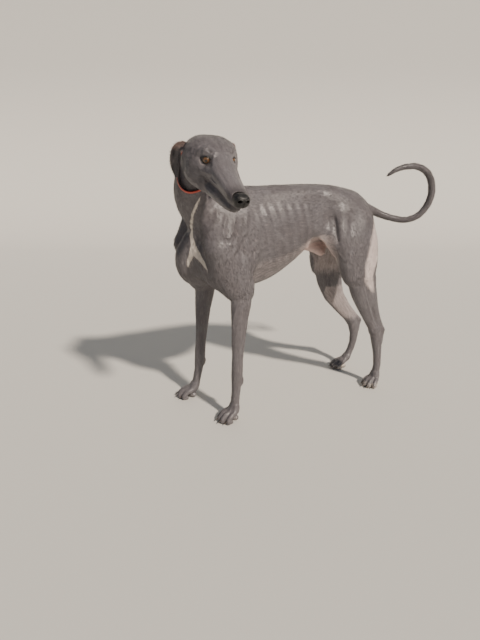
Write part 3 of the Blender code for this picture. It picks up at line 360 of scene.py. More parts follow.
def leather_material(name, dark, light, grain_mm, height, **values):
    """Bare skin: small domed cells with fine creases between, and painted shade that darkens the creases."""
    mat, tree, shader = material(name, **values)
    place = add(tree, "TexCoord", out="Object")
    cells = add(tree, "TexVoronoi", {"feature": "DISTANCE_TO_EDGE"},
                {"Vector": place, "Scale": 1000 / grain_mm})
    dome = add(tree, "MapRange", inputs=(cells, 0.0, 0.30))
    blotch = add(tree, "TexNoise", inputs={"Vector": place, "Scale": 160.0, "Detail": 3.0})
    share = add(tree, "MapRange", inputs=(blotch, 0.35, 0.7, 0.0, 0.8))
    colour = add(tree, "Mix", COLOURS, {0: share, 6: linear(dark), 7: linear(light)}, 2)
    # Painted shade: the colour darkens towards the cell edges, in the creases
    share = add(tree, "MapRange", inputs=(dome, 0.0, 1.0, 0.5, 0.0))
    colour = add(tree, "Mix", COLOURS, {0: share, 6: colour, 7: linear(dark)}, 2)
    tree.links.new(colour, shader.inputs["Base Color"])
    bump = add(tree, "Bump", inputs={"Height": dome, "Strength": 0.6, "Distance": height})
    tree.links.new(bump, shader.inputs["Normal"])
    return mat


def claw_material():
    """Horn: a smooth dark keratin sheath with fine growth lines, worn paler at the tip."""
    mat, tree, shader = material("claw_horn", Roughness=0.36, IOR=1.54)
    along = add(tree, "Attribute", {"attribute_name": "along"}, out="Fac")
    place = add(tree, "TexCoord", out="Object")
    grain = add(tree, "TexNoise", inputs={"Vector": place, "Scale": 900.0, "Detail": 3.0})
    share = add(tree, "MapRange", inputs=(grain, 0.35, 0.65))
    colour = add(tree, "Mix", COLOURS, {0: share, 6: linear("2C2726"), 7: linear("4A403C")}, 2)
    share = add(tree, "MapRange", inputs=(along, 0.55, 1.0, 0.0, 0.7))
    colour = add(tree, "Mix", COLOURS, {0: share, 6: colour, 7: linear("8A7A6C")}, 2)
    tree.links.new(colour, shader.inputs["Base Color"])
    bump = add(tree, "Bump", inputs={"Height": grain, "Strength": 0.35, "Distance": 0.0002})
    tree.links.new(bump, shader.inputs["Normal"])
    return mat


def webbing_material():
    """Orange-red nylon webbing: a plain weave with ribs 1.1 mm apart, drawn a little coarse so that it shows,
    with painted shade in the hollows of the weave and painted highlight on its crossings, slightly fuzzy and
    darker along its edges."""
    mat, tree, shader = material("woven_nylon", Roughness=0.62, Sheen_Weight=0.25, Sheen_Roughness=0.4)
    band = add(tree, "UVMap", {"uv_map": "band"})
    warp, weft = (add(tree, "TexWave", {"bands_direction": way}, {"Vector": band, "Scale": 145.0}, "Fac")
                  for way in "XY")
    weave = add(tree, "Math", MULTIPLY, (warp, weft))
    worn = add(tree, "TexNoise", inputs={"Vector": band, "Scale": 60.0, "Detail": 4.0})
    # Painted shade and highlight: darker in the hollows of the weave and lighter on its raised crossings
    share = add(tree, "MapRange", inputs=(weave, 0.05, 0.6))
    colour = add(tree, "Mix", COLOURS, {0: share, 6: linear("96200C"), 7: linear("D9431A")}, 2)
    share = add(tree, "MapRange", inputs=(worn, 0.45, 0.75, 0.0, 0.5))
    colour = add(tree, "Mix", COLOURS, {0: share, 6: colour, 7: linear("A93114")}, 2)
    # Darker along both edges of the band
    share = add(tree, "Attribute", {"attribute_name": "edge"}, out="Fac")
    colour = add(tree, "Mix", COLOURS, {0: share, 6: colour, 7: linear("7E1C0C")}, 2)
    tree.links.new(colour, shader.inputs["Base Color"])
    bump = add(tree, "Bump", inputs={"Height": weave, "Strength": 0.7, "Distance": 0.0004})
    tree.links.new(bump, shader.inputs["Normal"])
    return mat


def thread_material():
    """Polyester sewing thread, a twisted strand a shade lighter than the webbing."""
    mat, tree, shader = material("sewing_thread", Roughness=0.55, Sheen_Weight=0.3)
    place = add(tree, "TexCoord", out="Object")
    twist = add(tree, "TexNoise", inputs={"Vector": place, "Scale": 2600.0, "Detail": 1.0})
    colour = add(tree, "Mix", COLOURS, {0: twist, 6: linear("C9501F"), 7: linear("F08A4C")}, 2)
    tree.links.new(colour, shader.inputs["Base Color"])
    return mat


def ring_material():
    """Nickel-plated steel wire: bright metal with fine rubbed scratches."""
    mat, tree, shader = material("nickel_plate", Metallic=1.0, Base_Color=linear("C9C5BD"))
    place = add(tree, "TexCoord", out="Object")
    rub = add(tree, "TexNoise", inputs={"Vector": place, "Scale": 700.0, "Detail": 4.0})
    tree.links.new(add(tree, "MapRange", inputs=(rub, 0.3, 0.7, 0.16, 0.34)), shader.inputs["Roughness"])
    bump = add(tree, "Bump", inputs={"Height": rub, "Strength": 0.12, "Distance": 0.0001})
    tree.links.new(bump, shader.inputs["Normal"])
    return mat


def hair_material():
    """Whisker: a stiff glossy hair, darker at its root."""
    mat, tree, shader = material("whisker_hair", Roughness=0.35)
    along = add(tree, "Attribute", {"attribute_name": "along"}, out="Fac")
    colour = add(tree, "Mix", COLOURS, {0: along, 6: linear("3A3433"), 7: linear("9A928C")}, 2)
    tree.links.new(colour, shader.inputs["Base Color"])
    return mat


def floor_material():
    """Matt painted studio floor: even and pale, with a faint roller texture."""
    mat, tree, shader = material("matt_paint", Roughness=0.85, Base_Color=linear("CFCDC8"))
    place = add(tree, "TexCoord", out="Object")
    roller = add(tree, "TexNoise", inputs={"Vector": place, "Scale": 220.0, "Detail": 2.0})
    bump = add(tree, "Bump", inputs={"Height": roller, "Strength": 0.05, "Distance": 0.0005})
    tree.links.new(bump, shader.inputs["Normal"])
    return mat


# Stretches of the body, each with the way its hair points, from start to end, and how far its pull reaches.
# Each one's patterns join those of an earlier one, by its place in this list.
LIE = [
    ((0.000, -0.230, 0.640), (0.000, -0.040, 0.630), 0.060, None),
    ((0.000, -0.040, 0.640), (0.000, 0.160, 0.640), 0.060, 0),
    ((0.000, 0.180, 0.660), (0.000, 0.320, 0.600), 0.045, 1),
    ((0.040, -0.360, 0.742), (0.004, -0.290, 0.676), 0.040, 0),
    ((0.170, -0.362, 0.822), (0.050, -0.363, 0.752), 0.035, 3),
    ((0.000, -0.345, 0.610), (0.000, -0.300, 0.470), 0.030, 3),
    ((0.000, -0.280, 0.450), (0.000, 0.080, 0.530), 0.030, 0),
]
for side, fore, hind in ((1, 0.0, 0.0), (-1, -0.060, 0.030)):
    first = len(LIE)
    LIE += [
        ((side * 0.090, -0.255, 0.600), (side * 0.094, -0.235 + fore / 2, 0.400), 0.036, 0),
        ((side * 0.094, -0.235 + fore, 0.380), (side * 0.104, -0.262 + fore, 0.040), 0.030, first),
        ((side * 0.104, -0.262 + fore, 0.040), (side * 0.106, -0.300 + fore, 0.010), 0.020, first + 1),
        ((side * 0.080, 0.190, 0.600), (side * 0.096, 0.205, 0.430), 0.045, 2),
        ((side * 0.096, 0.210 + hind / 2, 0.420), (side * 0.094, 0.320 + hind, 0.220), 0.032, first + 3),
        ((side * 0.094, 0.322 + hind, 0.210), (side * 0.094, 0.328, 0.040), 0.030, first + 4),
        ((side * 0.094, 0.326, 0.040), (side * 0.095, 0.290, 0.010), 0.020, first + 5),
    ]


def lie_frames():
    """For each stretch: its ends, its reach, and the turn and shift into straightened coordinates, whose first
    number runs along the hair. The shift makes it agree with its neighbour half way between their middles."""
    out = []
    for start, end, reach, before in LIE:
        a, b = np.array(start), np.array(end)
        along = unit(b - a)
        aside = (1.0, 0.0, 0.0) if abs(along[0]) < 0.8 else (0.5, 0.86, 0.0)
        second = unit(np.cross(along, aside))
        turn = np.stack([along, second, np.cross(along, second)])
        shift = np.zeros(3)
        if before is not None:
            other = out[before]
            meet = ((a + b) / 2 + (other["a"] + other["b"]) / 2) / 2
            shift = other["turn"] @ meet + other["shift"] - turn @ meet
        out.append({"a": a, "b": b, "reach": reach, "turn": turn, "shift": shift})
    return out


LIE_FRAMES = lie_frames()
TAIL_PATH = spline(TAIL, 60)


def tail_lie(points):
    """The tail straightened: how far along its middle line each point is, and its place across that line."""
    along = unit(np.gradient(TAIL_PATH, axis=0))
    side = np.zeros_like(along)
    side[0] = (1, 0, 0)
    for i in range(1, len(along)):
        side[i] = unit(side[i - 1] - (side[i - 1] @ along[i]) * along[i])
    steps = np.linalg.norm(np.diff(TAIL_PATH, axis=0), axis=1)
    reach = np.concatenate([[0], np.cumsum(steps)])
    gap, place = to_path(points, TAIL_PATH)
    at = place * reach[-1]
    centre, way, across = (np.stack([np.interp(at, reach, rows[:, k]) for k in range(3)], 1)
                           for rows in (TAIL_PATH, along, side))
    off = points - centre
    third = np.cross(way, across)
    straight = np.stack([at, (off * across).sum(1), (off * third).sum(1)], 1)
    return straight, way, gap, at


def body_lie(points):
    """Straightened coordinates and the hair's direction: every stretch's own, blended by nearness."""
    total = np.zeros(len(points))
    straight = np.zeros_like(points)
    way = np.zeros_like(points)
    for f in LIE_FRAMES:
        gap, _ = to_path(points, (f["a"], f["b"]))
        weight = np.exp(-0.5 * (gap / f["reach"]) ** 2) + 1e-9
        total += weight
        straight += weight[:, None] * (points @ f["turn"].T + f["shift"])
        way += weight[:, None] * f["turn"][0]
    straight, way = straight / total[:, None], unit(way)
    tail, tail_way, gap, at = tail_lie(points)
    share = (smooth(0.05, 0.10, at) * (gap < 0.035))[:, None]
    tail[:, 0] += 0.30
    return straight * (1 - share) + tail * share, unit(way * (1 - share) + tail_way * share)


def stroke(points, path, half, soft):
    """1 on a painted line of the given half widths along a path, fading to 0 over soft."""
    gap, place = to_path(points, path)
    width = np.interp(place, np.linspace(0, 1, len(half)), half)
    return 1 - smooth(-soft / 2, soft / 2, gap - width)


def body_marks(points, normals):
    """Where the body is white, pink or pale, from places on it, with painted sunlight on the backs of the thighs.
    """
    x, y, z = points.T
    white = stroke(points, ((0.094, -0.350, 0.722), (0.080, -0.364, 0.694), (0.058, -0.371, 0.666),
                            (0.028, -0.366, 0.630), (0.015, -0.362, 0.598), (0.022, -0.359, 0.570),
                            (0.032, -0.355, 0.548)),
                   (0.0036, 0.0044, 0.0036, 0.0038, 0.0050, 0.0075, 0.0120), 0.007)
    for path in (
            ((0.022, -0.358, 0.566), (0.014, -0.365, 0.537), (0.001, -0.370, 0.516), (-0.006, -0.369, 0.500)),
            ((0.028, -0.355, 0.560), (0.046, -0.349, 0.537), (0.060, -0.340, 0.519), (0.068, -0.334, 0.502))):
        white = np.maximum(white, stroke(points, path, (0.0105, 0.0085, 0.0060, 0.0020), 0.007))
    tips = np.zeros(len(points))
    for (px, py), _, _ in PAWS.values():
        near = 1 - smooth(0.030, 0.060, np.hypot(x - px, y - py))
        top, most = (0.030, 0.30) if py < 0 else (0.042, 0.50)
        tips = np.maximum(tips, most * near * (1 - smooth(0.012, top, z)))
    _, _, gap, at = tail_lie(points)
    tips = np.maximum(tips, 0.35 * smooth(0.56, 0.68, at) * (gap < 0.03))
    white = np.maximum(white, tips)
    side = np.abs(x)
    # Painted sunlight: the back of each thigh, where it faces backwards, is painted pale as if lit by the sun
    sunlit_thigh_back = stroke(np.c_[side, y, z], ((0.080, 0.280, 0.605), (0.104, 0.270, 0.541), (0.124, 0.240, 0.478),
                                            (0.126, 0.234, 0.434), (0.110, 0.262, 0.380)),
                        (0.026, 0.040, 0.030, 0.020, 0.006), 0.018) * smooth(-0.55, -0.10, normals[:, 1])
    low = 1 - smooth(-0.55, 0.10, normals[:, 2])
    line = np.interp(y, (-0.30, -0.20, -0.10, 0.0, 0.08, 0.14), (0.470, 0.512, 0.530, 0.560, 0.585, 0.590))
    belly = (1 - smooth(-0.018, 0.012, z - line)) * smooth(-0.29, -0.20, y) * (1 - smooth(0.10, 0.16, y))
    belly = belly * (0.35 + 0.65 * low) * (1 - smooth(0.070, 0.115, side))
    inner = smooth(0.15, 0.55, -normals[:, 0] * np.sign(x)) * smooth(0.10, 0.16, y) * smooth(0.38, 0.46, z)
    inner = inner * (1 - smooth(0.62, 0.66, z))
    shank = smooth(0.3, 0.8, -normals[:, 0] * np.sign(x)) * (y > 0.2) * smooth(0.19, 0.24, z) * (z < 0.36)
    flank = (0.22 + 0.68 * smooth(-0.02, 0.06, y)) * belly
    pale = np.maximum.reduce([0.95 * sunlit_thigh_back, flank, 0.42 * inner, 0.4 * shank])
    sheath = (1 - smooth(0.024, 0.034, side)) * smooth(0.00, 0.03, y) * (1 - smooth(0.135, 0.16, y))
    pink = np.maximum(0.55 * sheath * (1 - smooth(0.545, 0.560, z)), 0.25 * belly * smooth(-0.05, 0.05, y))
    pads = 1 - smooth(-0.9, -0.4, normals[:, 2])
    dark = 0.9 * pads * (1 - smooth(0.010, 0.020, z))
    return {"white": white, "pale": pale, "pink": pink, "dark": dark}


def head_marks(points, normals):
    """Where the head is dark, pink, pale or white, in its own axes, with painted shade under the folds round the
    eyes and a painted highlight along the lower lids.
    """
    h = head_points(points)
    x, y, z = np.abs(h[:, 0]), h[:, 1], h[:, 2]
    almond, reach = eye_measure(h)
    rim = (1 - smooth(1.05, 1.45, almond)) * (reach < 1.8)
    folded = np.c_[x, y, z]
    tear = stroke(folded, ((0.0185, -0.008, -0.002), (0.0175, -0.016, -0.009)), (0.0022, 0.001), 0.003)
    lips = stroke(folded, mouth_line(), (0.0014, 0.0016, 0.0024, 0.0032), 0.0035)
    muzzle = smooth(-0.100, -0.128, y) * 0.55
    chin = (1 - smooth(-0.060, -0.048, z)) * smooth(-0.085, -0.110, y) * 0.4
    # Painted shade: a dark stroke under the brow fold above each eye, and another under the fold below each eye
    brow_shadow = stroke(folded, ((0.0240, -0.010, 0.0150), (0.0185, -0.0165, 0.0100), (0.0175, -0.020, 0.002)),
                  (0.0020, 0.0035, 0.0020), 0.005)
    under_eye_shadow = stroke(folded, ((0.0400, 0.004, -0.014), (0.0360, -0.008, -0.019), (0.0300, -0.020, -0.020)),
                 (0.0015, 0.0022, 0.0015), 0.005)
    dark = np.maximum.reduce([0.9 * rim, 0.7 * tear, 0.75 * lips, muzzle, chin, 0.45 * brow_shadow, 0.35 * under_eye_shadow])
    ear = smooth(0.052, 0.060, x) * smooth(0.070, 0.085, y)
    dark = np.maximum(dark, ear * (0.2 + 0.4 * smooth(0.0, -0.030, z)))
    inside = smooth(0.2, 0.7, -normals @ HEAD_TURN[:, 1]) * smooth(0.040, 0.048, x) * smooth(0.062, 0.075, y)
    pink = 0.5 * inside * smooth(-0.020, 0.0, z)
    # Painted highlight: a pale band along each lower lid, just under the eye
    lid_highlight = (1 - smooth(0.15, 0.35, np.abs(almond - 1.50))) * smooth(0.0, -0.004, z - EYE_PLACE[2])
    white = body_marks(points, normals)["white"] * smooth(0.05, 0.08, y)
    return {"white": white, "pale": 0.35 * lid_highlight * (reach < 1.5), "pink": pink, "dark": dark}


def largest_part(points, faces):
    """Keeps the part with the most faces: every point takes the lowest number among its faces' points, until
    each part has one number. Bubbles between the solids go."""
    label = np.arange(len(points))
    before = None
    while before is None or (label != before).any():
        before = label.copy()
        np.minimum.at(label, faces.ravel(), np.repeat(label[faces].min(1), faces.shape[1]))
        label = label[label]
    faces = faces[label[faces[:, 0]] == np.bincount(label[faces[:, 0]]).argmax()]
    used, index = np.unique(faces, return_inverse=True)
    return points[used], index.reshape(faces.shape)


def drawn_over(nodes, voxel, puff):
    """One closed surface over several solids: the skin of the voxels that they fill, so that no cut shows."""
    surfaces = [solid_surface(node, puff) for node in nodes]
    starts = np.cumsum([0] + [len(points) for points, _ in surfaces[:-1]])
    points = np.concatenate([points for points, _ in surfaces])
    faces = np.concatenate([faces + start for (_, faces), start in zip(surfaces, starts)])
    obj = new_object("flesh", points, faces)
    change = obj.modifiers.new("remesh", "REMESH")
    change.mode = "VOXEL"
    change.voxel_size = voxel
    applied(obj)
    points, faces = read_mesh(obj.data, 4)
    bpy.data.objects.remove(obj)
    return largest_part(points, faces)


def edges_of(faces):
    pairs = np.concatenate([faces[:, [a, (a + 1) % faces.shape[1]]] for a in range(faces.shape[1])])
    return np.unique(np.sort(pairs, axis=1), axis=0)


def relaxed(points, edges, amount, rounds):
    """Taubin's smoothing: each point goes part of the way to the middle of its neighbours, then back by a
    little more, so that facets go and the form keeps its size."""
    count = len(points)
    around = np.bincount(edges.ravel(), minlength=count)[:, None]
    for _ in range(rounds):
        for step in (0.5, -0.52):
            total = np.stack([np.bincount(edges[:, 0], points[edges[:, 1], k], count)
                              + np.bincount(edges[:, 1], points[edges[:, 0], k], count) for k in range(3)], 1)
            points = points + step * amount * (total / around - points)
    return points


def raised(points, path, width, height, shift=0.0):
    """Height along the normal of a soft ridge, or of a groove if negative, over a path on the left side, and
    over its mirror image moved by shift along y on the right side. The ridge is given in millimetres."""
    width, height, shift = width / 1000, height / 1000, shift / 1000
    lift = np.zeros(len(points))
    for side in (1, -1):
        line = np.array(path) / 1000 * (side, 1, 1)
        if side < 0:
            line[:, 1] += shift
        near = np.abs(points - line.mean(0)).max(1) < np.ptp(line, axis=0).max() + 4 * width
        if near.any():
            gap, place = to_path(points[near], line)
            ends = smooth(0, 0.18, place) * smooth(0, 0.18, 1 - place)
            lift[near] += height * np.exp(-(gap / width) ** 2) * (0.25 + 0.75 * ends)
    return lift


# Each row: a line on the left side, the ridge's width, its height, and how far its mirror image is moved
# along y on the right side, all in millimetres
BODY_RELIEF = [
    # The veins and muscle edges of the shoulder
    (((73, -303, 682), (84, -305, 655), (83, -333, 616)), 7, 2.9, -10),
    (((87, -278, 663), (98, -289, 633), (106, -299, 600)), 6, 2.6, -10),
    (((94, -253, 654), (103, -264, 615), (111, -286, 588)), 6, 2.9, -10),
    (((87, -211, 669), (98, -219, 612), (112, -261, 558), (116, -273, 542)), 7, 2.9, -20),
    (((100, -240, 650), (106, -245, 610), (112, -268, 580)), 7, -2.9, -10),
    (((109, -283, 600), (112, -286, 582)), 9, -4.2, -20),
    # The furrow behind the arm
    (((92, -196, 610), (98, -196, 540), (104, -196, 470), (100, -200, 430)), 12, -5.6, -20),
    # Between the two heads of the triceps
    (((104, -236, 575), (114, -240, 510), (116, -238, 455)), 10, -3.5, -30),
    # Vein and tendons of the forearm
    (((111, -251, 410), (104, -264, 351), (98, -268, 294), (96, -266, 230)), 3.5, 2.2, -54),
    (((112, -226, 390), (113, -232, 320), (111, -238, 240), (112, -240, 190)), 5, -2.6, -53),
    # The crease in front of the thigh
    (((73, 105, 649), (84, 108, 617), (97, 108, 580), (105, 113, 548)), 8, -6.1, 0),
    (((80, 85, 640), (82, 88, 610), (80, 90, 575)), 10, 2.6, 0),
    # Edges of the thigh's muscles
    (((97, 166, 640), (113, 154, 575), (122, 156, 515)), 10, -2.9, 0),
    (((98, 235, 620), (118, 228, 550), (126, 222, 480)), 11, -3.2, 0),
    (((118, 200, 470), (124, 222, 415), (120, 240, 360)), 8, -2.6, 10),
    # The hollow before the tendon of the hock
    (((116, 262, 330), (111, 292, 275), (106, 316, 235)), 6, -4.8, 40),
    (((74, 262, 330), (79, 292, 275), (82, 316, 235)), 6, -4.8, 40),
    # The vein across the gaskin
    (((122, 215, 400), (119, 240, 345), (112, 262, 300), (108, 292, 250)), 3, 1.9, 30),
    (((110, 322, 190), (108, 330, 130), (107, 332, 80)), 4, -2.2, 20),
]


def rib_relief(points, normals):
    """Ribs faint under the skin: waves across lines that slant back and down, 32 mm apart."""
    _, y, z = points.T
    across = y + 0.28 * (z - 0.62)
    wave = np.cos(2 * np.pi * (across + 0.006) / 0.032)
    fade = smooth(-0.20, -0.15, y) * (1 - smooth(-0.01, 0.045, y))
    fade = fade * smooth(0.48, 0.53, z) * (1 - smooth(0.66, 0.705, z))
    return 0.0012 * wave * fade * smooth(0.4, 0.8, np.abs(normals[:, 0]))


def body_skin():
    nodes = [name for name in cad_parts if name.startswith(("torso", "neck", "leg", "paw", "tail"))]
    points, faces = drawn_over(nodes, BODY_VOXEL, 0.00025)
    edges = edges_of(faces)
    amount = (0.06 + 0.94 * smooth(0.05, 0.30, points[:, 2]))[:, None]
    amount[points[:, 1] > 0.33] = 0.3
    points = relaxed(points, edges, amount, 24)
    points = shrunk_claws(points)
    normals = vertex_normals(points, faces)
    lift = rib_relief(points, normals) - COAT_DEPTH
    for ridge in BODY_RELIEF:
        lift += raised(points, *ridge)
    points = points + lift[:, None] * normals
    points[:, 2] = np.maximum(points[:, 2], 0.0002)
    return points, faces, nodes


def claw_paths():
    """The middle line of each claw, and its size."""
    out = []
    t = np.linspace(0, 1, 12)[:, None]
    for (px, py), degrees, size in PAWS.values():
        turn = math.radians(degrees)
        c, s = math.cos(turn), math.sin(turn)
        ahead = np.array((s, -c, 0.0))
        for across, reach, splay in TOES:
            x, y = across + splay, reach + 0.0065
            root = np.array((px + size * (c * x + s * y), py + size * (s * x - c * y), size * 0.0150))
            path = root + t * CLAW_LENGTH * size * ahead
            path[:, 2] -= (0.15 * t[:, 0] + 0.42 * t[:, 0] ** 2) * CLAW_LENGTH * size
            out.append((path, size))
    return out


def shrunk_claws(points):
    """Draws the skin in round each claw's middle line, so that the horn covers it."""
    points = points.copy()
    for path, _ in claw_paths():
        near = np.linalg.norm(points - path[6], axis=1) < 0.02
        gap, place = to_path(points[near], path)
        nearest = path[np.round(place * (len(path) - 1)).astype(int)]
        share = (smooth(0.10, 0.35, place) * (gap < 0.0045))[:, None]
        points[near] = points[near] * (1 - 0.7 * share) + nearest * 0.7 * share
    return points


def eye_axes(side):
    """The turn from an eyeball's own axes, -y along its gaze and +x to its outer corner, to the head's."""
    c, s = math.cos(EYE_TURN), math.sin(EYE_TURN)
    return np.array(((side * c, side * s, 0), (s, -c, 0), (0, 0, 1.0))) * (1, -1, 1)


def eye_local(h, side):
    """Points of the head's axes in an eyeball's own."""
    return (h - np.array((side * EYE_PLACE[0], EYE_PLACE[1], EYE_PLACE[2]))) @ eye_axes(side)


def from_eye(q, side):
    """Points of an eyeball's own axes in the dog's."""
    return from_head(q @ eye_axes(side).T + np.array((side * EYE_PLACE[0], EYE_PLACE[1], EYE_PLACE[2])))


def almond_size(q):
    """How many times wider than the lids' opening the almond through each point of an eye's axes is."""
    tall = np.where(q[:, 2] > 0, LID_HALF[1], LID_HALF[2])
    return np.sqrt((q[:, 0] / LID_HALF[0]) ** 2 + np.abs(q[:, 2] / tall) ** (4 / 3))


def eye_measure(h):
    """The almond's size at each point, and how many eye radii away the nearer eye is."""
    best = np.full(len(h), FAR_OFF)
    reach = np.full(len(h), FAR_OFF)
    for side in (1, -1):
        q = eye_local(h, side)
        m = almond_size(q)
        m[q[:, 1] > 0.3 * EYE_R] = FAR_OFF
        far = np.linalg.norm(q, axis=1) / EYE_R
        nearer = far < reach
        best[nearer] = m[nearer]
        reach[nearer] = far[nearer]
    return best, reach


def mouth_line():
    """The line between the lips on one side, from its corner forwards, in the head's axes."""
    (y1, z1), (y0, z0) = MOUTH_CORNER, MOUTH_FRONT
    t = np.linspace(0, 1, 12)
    y = y1 + (y0 - y1) * t
    z = z1 + (z0 - z1) * t - 0.0022 * np.sin(np.pi * t)
    x = np.interp(y, (-0.150, -0.140, -0.126, -0.100, -0.070, -0.040),
                  (0.0040, 0.0125, 0.0180, 0.0220, 0.0245, 0.0280))
    return np.c_[x, y, z]


# The same for the head, in its own axes, the same on both sides
HEAD_RELIEF = [
    # Brow over each eye, and the fold that runs down its inner side
    (((34, 10, 14.5), (28, -4, 16.5), (21.5, -13, 15)), 4, 3.9),
    (((21.5, -13, 15), (18.5, -18, 8), (18.5, -22, 1)), 3, 2.5),
    (((34, 10, 23), (27, -4, 24.5), (20, -14, 23)), 3.5, -2.5),
    # Bag under the eye
    (((38, 2, -8.5), (31, -12, -10), (23.5, -20, -8.5)), 2.6, 2.5),
    (((38, 0, -13), (31, -14, -14.5), (23.5, -24, -13.5)), 2.4, -2.2),
    # Veins and folds from the eye to the lips
    (((29, -30, -16), (30, -40, -23), (28.5, -52, -26), (26, -66, -25)), 2, 2.8),
    (((33, -12, -25), (32, -26, -32), (30, -40, -36), (27.5, -56, -37)), 2.4, 2.9),
    (((31, -20, -36), (30, -34, -43), (27.5, -50, -45)), 2.6, -2.9),
    (((38, 20, -28), (35, 2, -38), (32, -16, -46)), 3, 2.5),
    # Folds at the corner of the mouth
    (((30, -30, -48), (30.5, -36, -54), (28.5, -40, -60)), 2.4, 2.5),
    # Front edge of the chewing muscle
    (((44, 24, -18), (42, 14, -40), (37, 16, -56)), 6, 2.9),
    # Side of the nose's bridge
    (((20, -40, 4), (18.5, -70, -3.5), (16.5, -100, -9.5)), 4, -1.4),
]


def head_relief(h):
    """The folds and veins of the face, and the groove between the lips with a soft roll over and under it."""
    lift = np.zeros(len(h))
    for ridge in HEAD_RELIEF:
        lift += raised(h, *ridge)
    folded = np.abs(h) * (1, 0, 0) + h * (0, 1, 1)
    gap, place = to_path(folded, mouth_line())
    between, lips = np.exp(-(gap / 0.0012) ** 2), np.exp(-((gap - 0.0032) / 0.0018) ** 2)
    lift += (0.0007 * lips - 0.0016 * between) * smooth(1.0, 0.97, place)
    _, y, z = h.T
    # Furrow down the middle of the forehead
    where = smooth(-0.03, 0.0, y) * (1 - smooth(0.06, 0.09, y)) * (z > 0.01)
    return lift - 0.0012 * np.exp(-(h[:, 0] / 0.006) ** 2) * where


def around_eyes(points):
    """Lays the skin over each eyeball: behind it inside the lids' opening, then up over it as a lid, and
    back to its own shape one opening's width further out."""
    for side in (1, -1):
        q = eye_local(head_points(points), side)
        m = almond_size(q)
        far = np.linalg.norm(q, axis=1)
        near = (q[:, 1] < 0.2 * EYE_R) & (m < 2.4) & (far < 2.2 * EYE_R)
        target = EYE_R - 0.0014 + 0.0028 * smooth(1.0, 1.22, m)
        radius = far + (target - far) * (1 - smooth(1.3, 2.3, m))
        radius = np.where(m < 1.02, np.minimum(radius, EYE_R - 0.0012), radius)
        q *= (radius / np.maximum(far, 1e-6))[:, None]
        points = np.where(near[:, None], from_eye(q, side), points)
    return points


def head_skin():
    points, faces = drawn_over(["neck", "head", "jaw", "ear_left", "ear_right"], HEAD_VOXEL, 0.00025)
    edges = edges_of(faces)
    points = relaxed(points, edges, 0.8, 8)
    normals = vertex_normals(points, faces)
    h = head_points(points)
    thin = smooth(0.050, 0.058, np.abs(h[:, 0])) * smooth(0.070, 0.085, h[:, 1])
    lift = head_relief(h) - COAT_DEPTH * (1 - 0.7 * thin)
    lift += raised(points, *BODY_RELIEF[0])
    points = points + lift[:, None] * normals
    return around_eyes(points), faces


def reduced(obj, triangles):
    count = 2 * len(obj.data.polygons)
    change = obj.modifiers.new("reduce", "DECIMATE")
    change.ratio = min(1.0, triangles / count)
    return applied(obj)


def cut_at_collar(obj, way):
    """Keeps the side of the collar's plane that way points to, and closes it under the band."""
    bm = bmesh.new()
    bm.from_mesh(obj.data)
    place = ORIGIN + COLLAR_PLACE - way * 0.003 * COLLAR_AXIS
    bmesh.ops.bisect_plane(bm, geom=bm.verts[:] + bm.edges[:] + bm.faces[:], plane_co=place,
                           plane_no=-way * COLLAR_AXIS, clear_outer=True)
    bmesh.ops.holes_fill(bm, edges=[e for e in bm.edges if e.is_boundary])
    bmesh.ops.triangulate(bm, faces=bm.faces[:])
    bm.to_mesh(obj.data)
    bm.free()


def dressed_skin(name, points, faces, way, marks, lie):
    """A finished length of skin: thinned to its triangles, ended under the collar, and marked."""
    obj = reduced(new_object(name, points, faces), SKIN_TRIANGLES)
    cut_at_collar(obj, way)
    points, faces = read_mesh(obj.data, 3)
    normals = vertex_normals(points, faces)
    for layer, values in marks(points, normals).items():
        values_on(obj, layer, values)
    values_on(obj, "lie", lie(points)[0])
    values_on(obj, "shade", np.zeros(len(points)))
    obj.data.polygons.foreach_set("use_smooth", [True] * len(obj.data.polygons))
    return obj, points, faces, normals


def head_lie(points):
    """Along the head the hair runs back from the nose, so the head's own y comes first."""
    h = head_points(points)
    way = np.broadcast_to(HEAD_TURN[:, 1], points.shape).copy()
    return h[:, (1, 0, 2)] * HEAD_SCALE, way


def eye_ball(side):
    """A ball of rings round its gaze: radius EYE_R, with the cornea raised 0.9 mm within 36 degrees."""
    gaze = np.radians(np.concatenate([np.linspace(0.4, 50, 64), np.linspace(53, 179.6, 26)]))[:, None]
    turn = np.linspace(0, 2 * np.pi, 96, endpoint=False)[None, :]
    r = EYE_R + 0.0009 * np.maximum(0, 1 - (gaze / math.radians(36)) ** 2) ** 1.2
    q = np.stack([r * np.sin(gaze) * np.cos(turn), -r * np.cos(gaze) * np.ones_like(turn),
                  r * np.sin(gaze) * np.sin(turn)], -1)
    points, faces = tube_mesh(from_eye(q, side))
    name = "eye_ball_left" if side > 0 else "eye_ball_right"
    obj = new_object(name, points, faces)
    degrees = np.degrees(np.broadcast_to(gaze, q.shape[:2]))
    values_on(obj, "gaze", np.concatenate([degrees.ravel(), [0, 180]]))
    spoke = np.stack([np.cos(turn) + 0 * gaze, np.sin(turn) + 0 * gaze, degrees], -1).reshape(-1, 3)
    values_on(obj, "spoke", np.concatenate([spoke, [[1, 0, 0], [1, 0, 180]]]))
    return obj


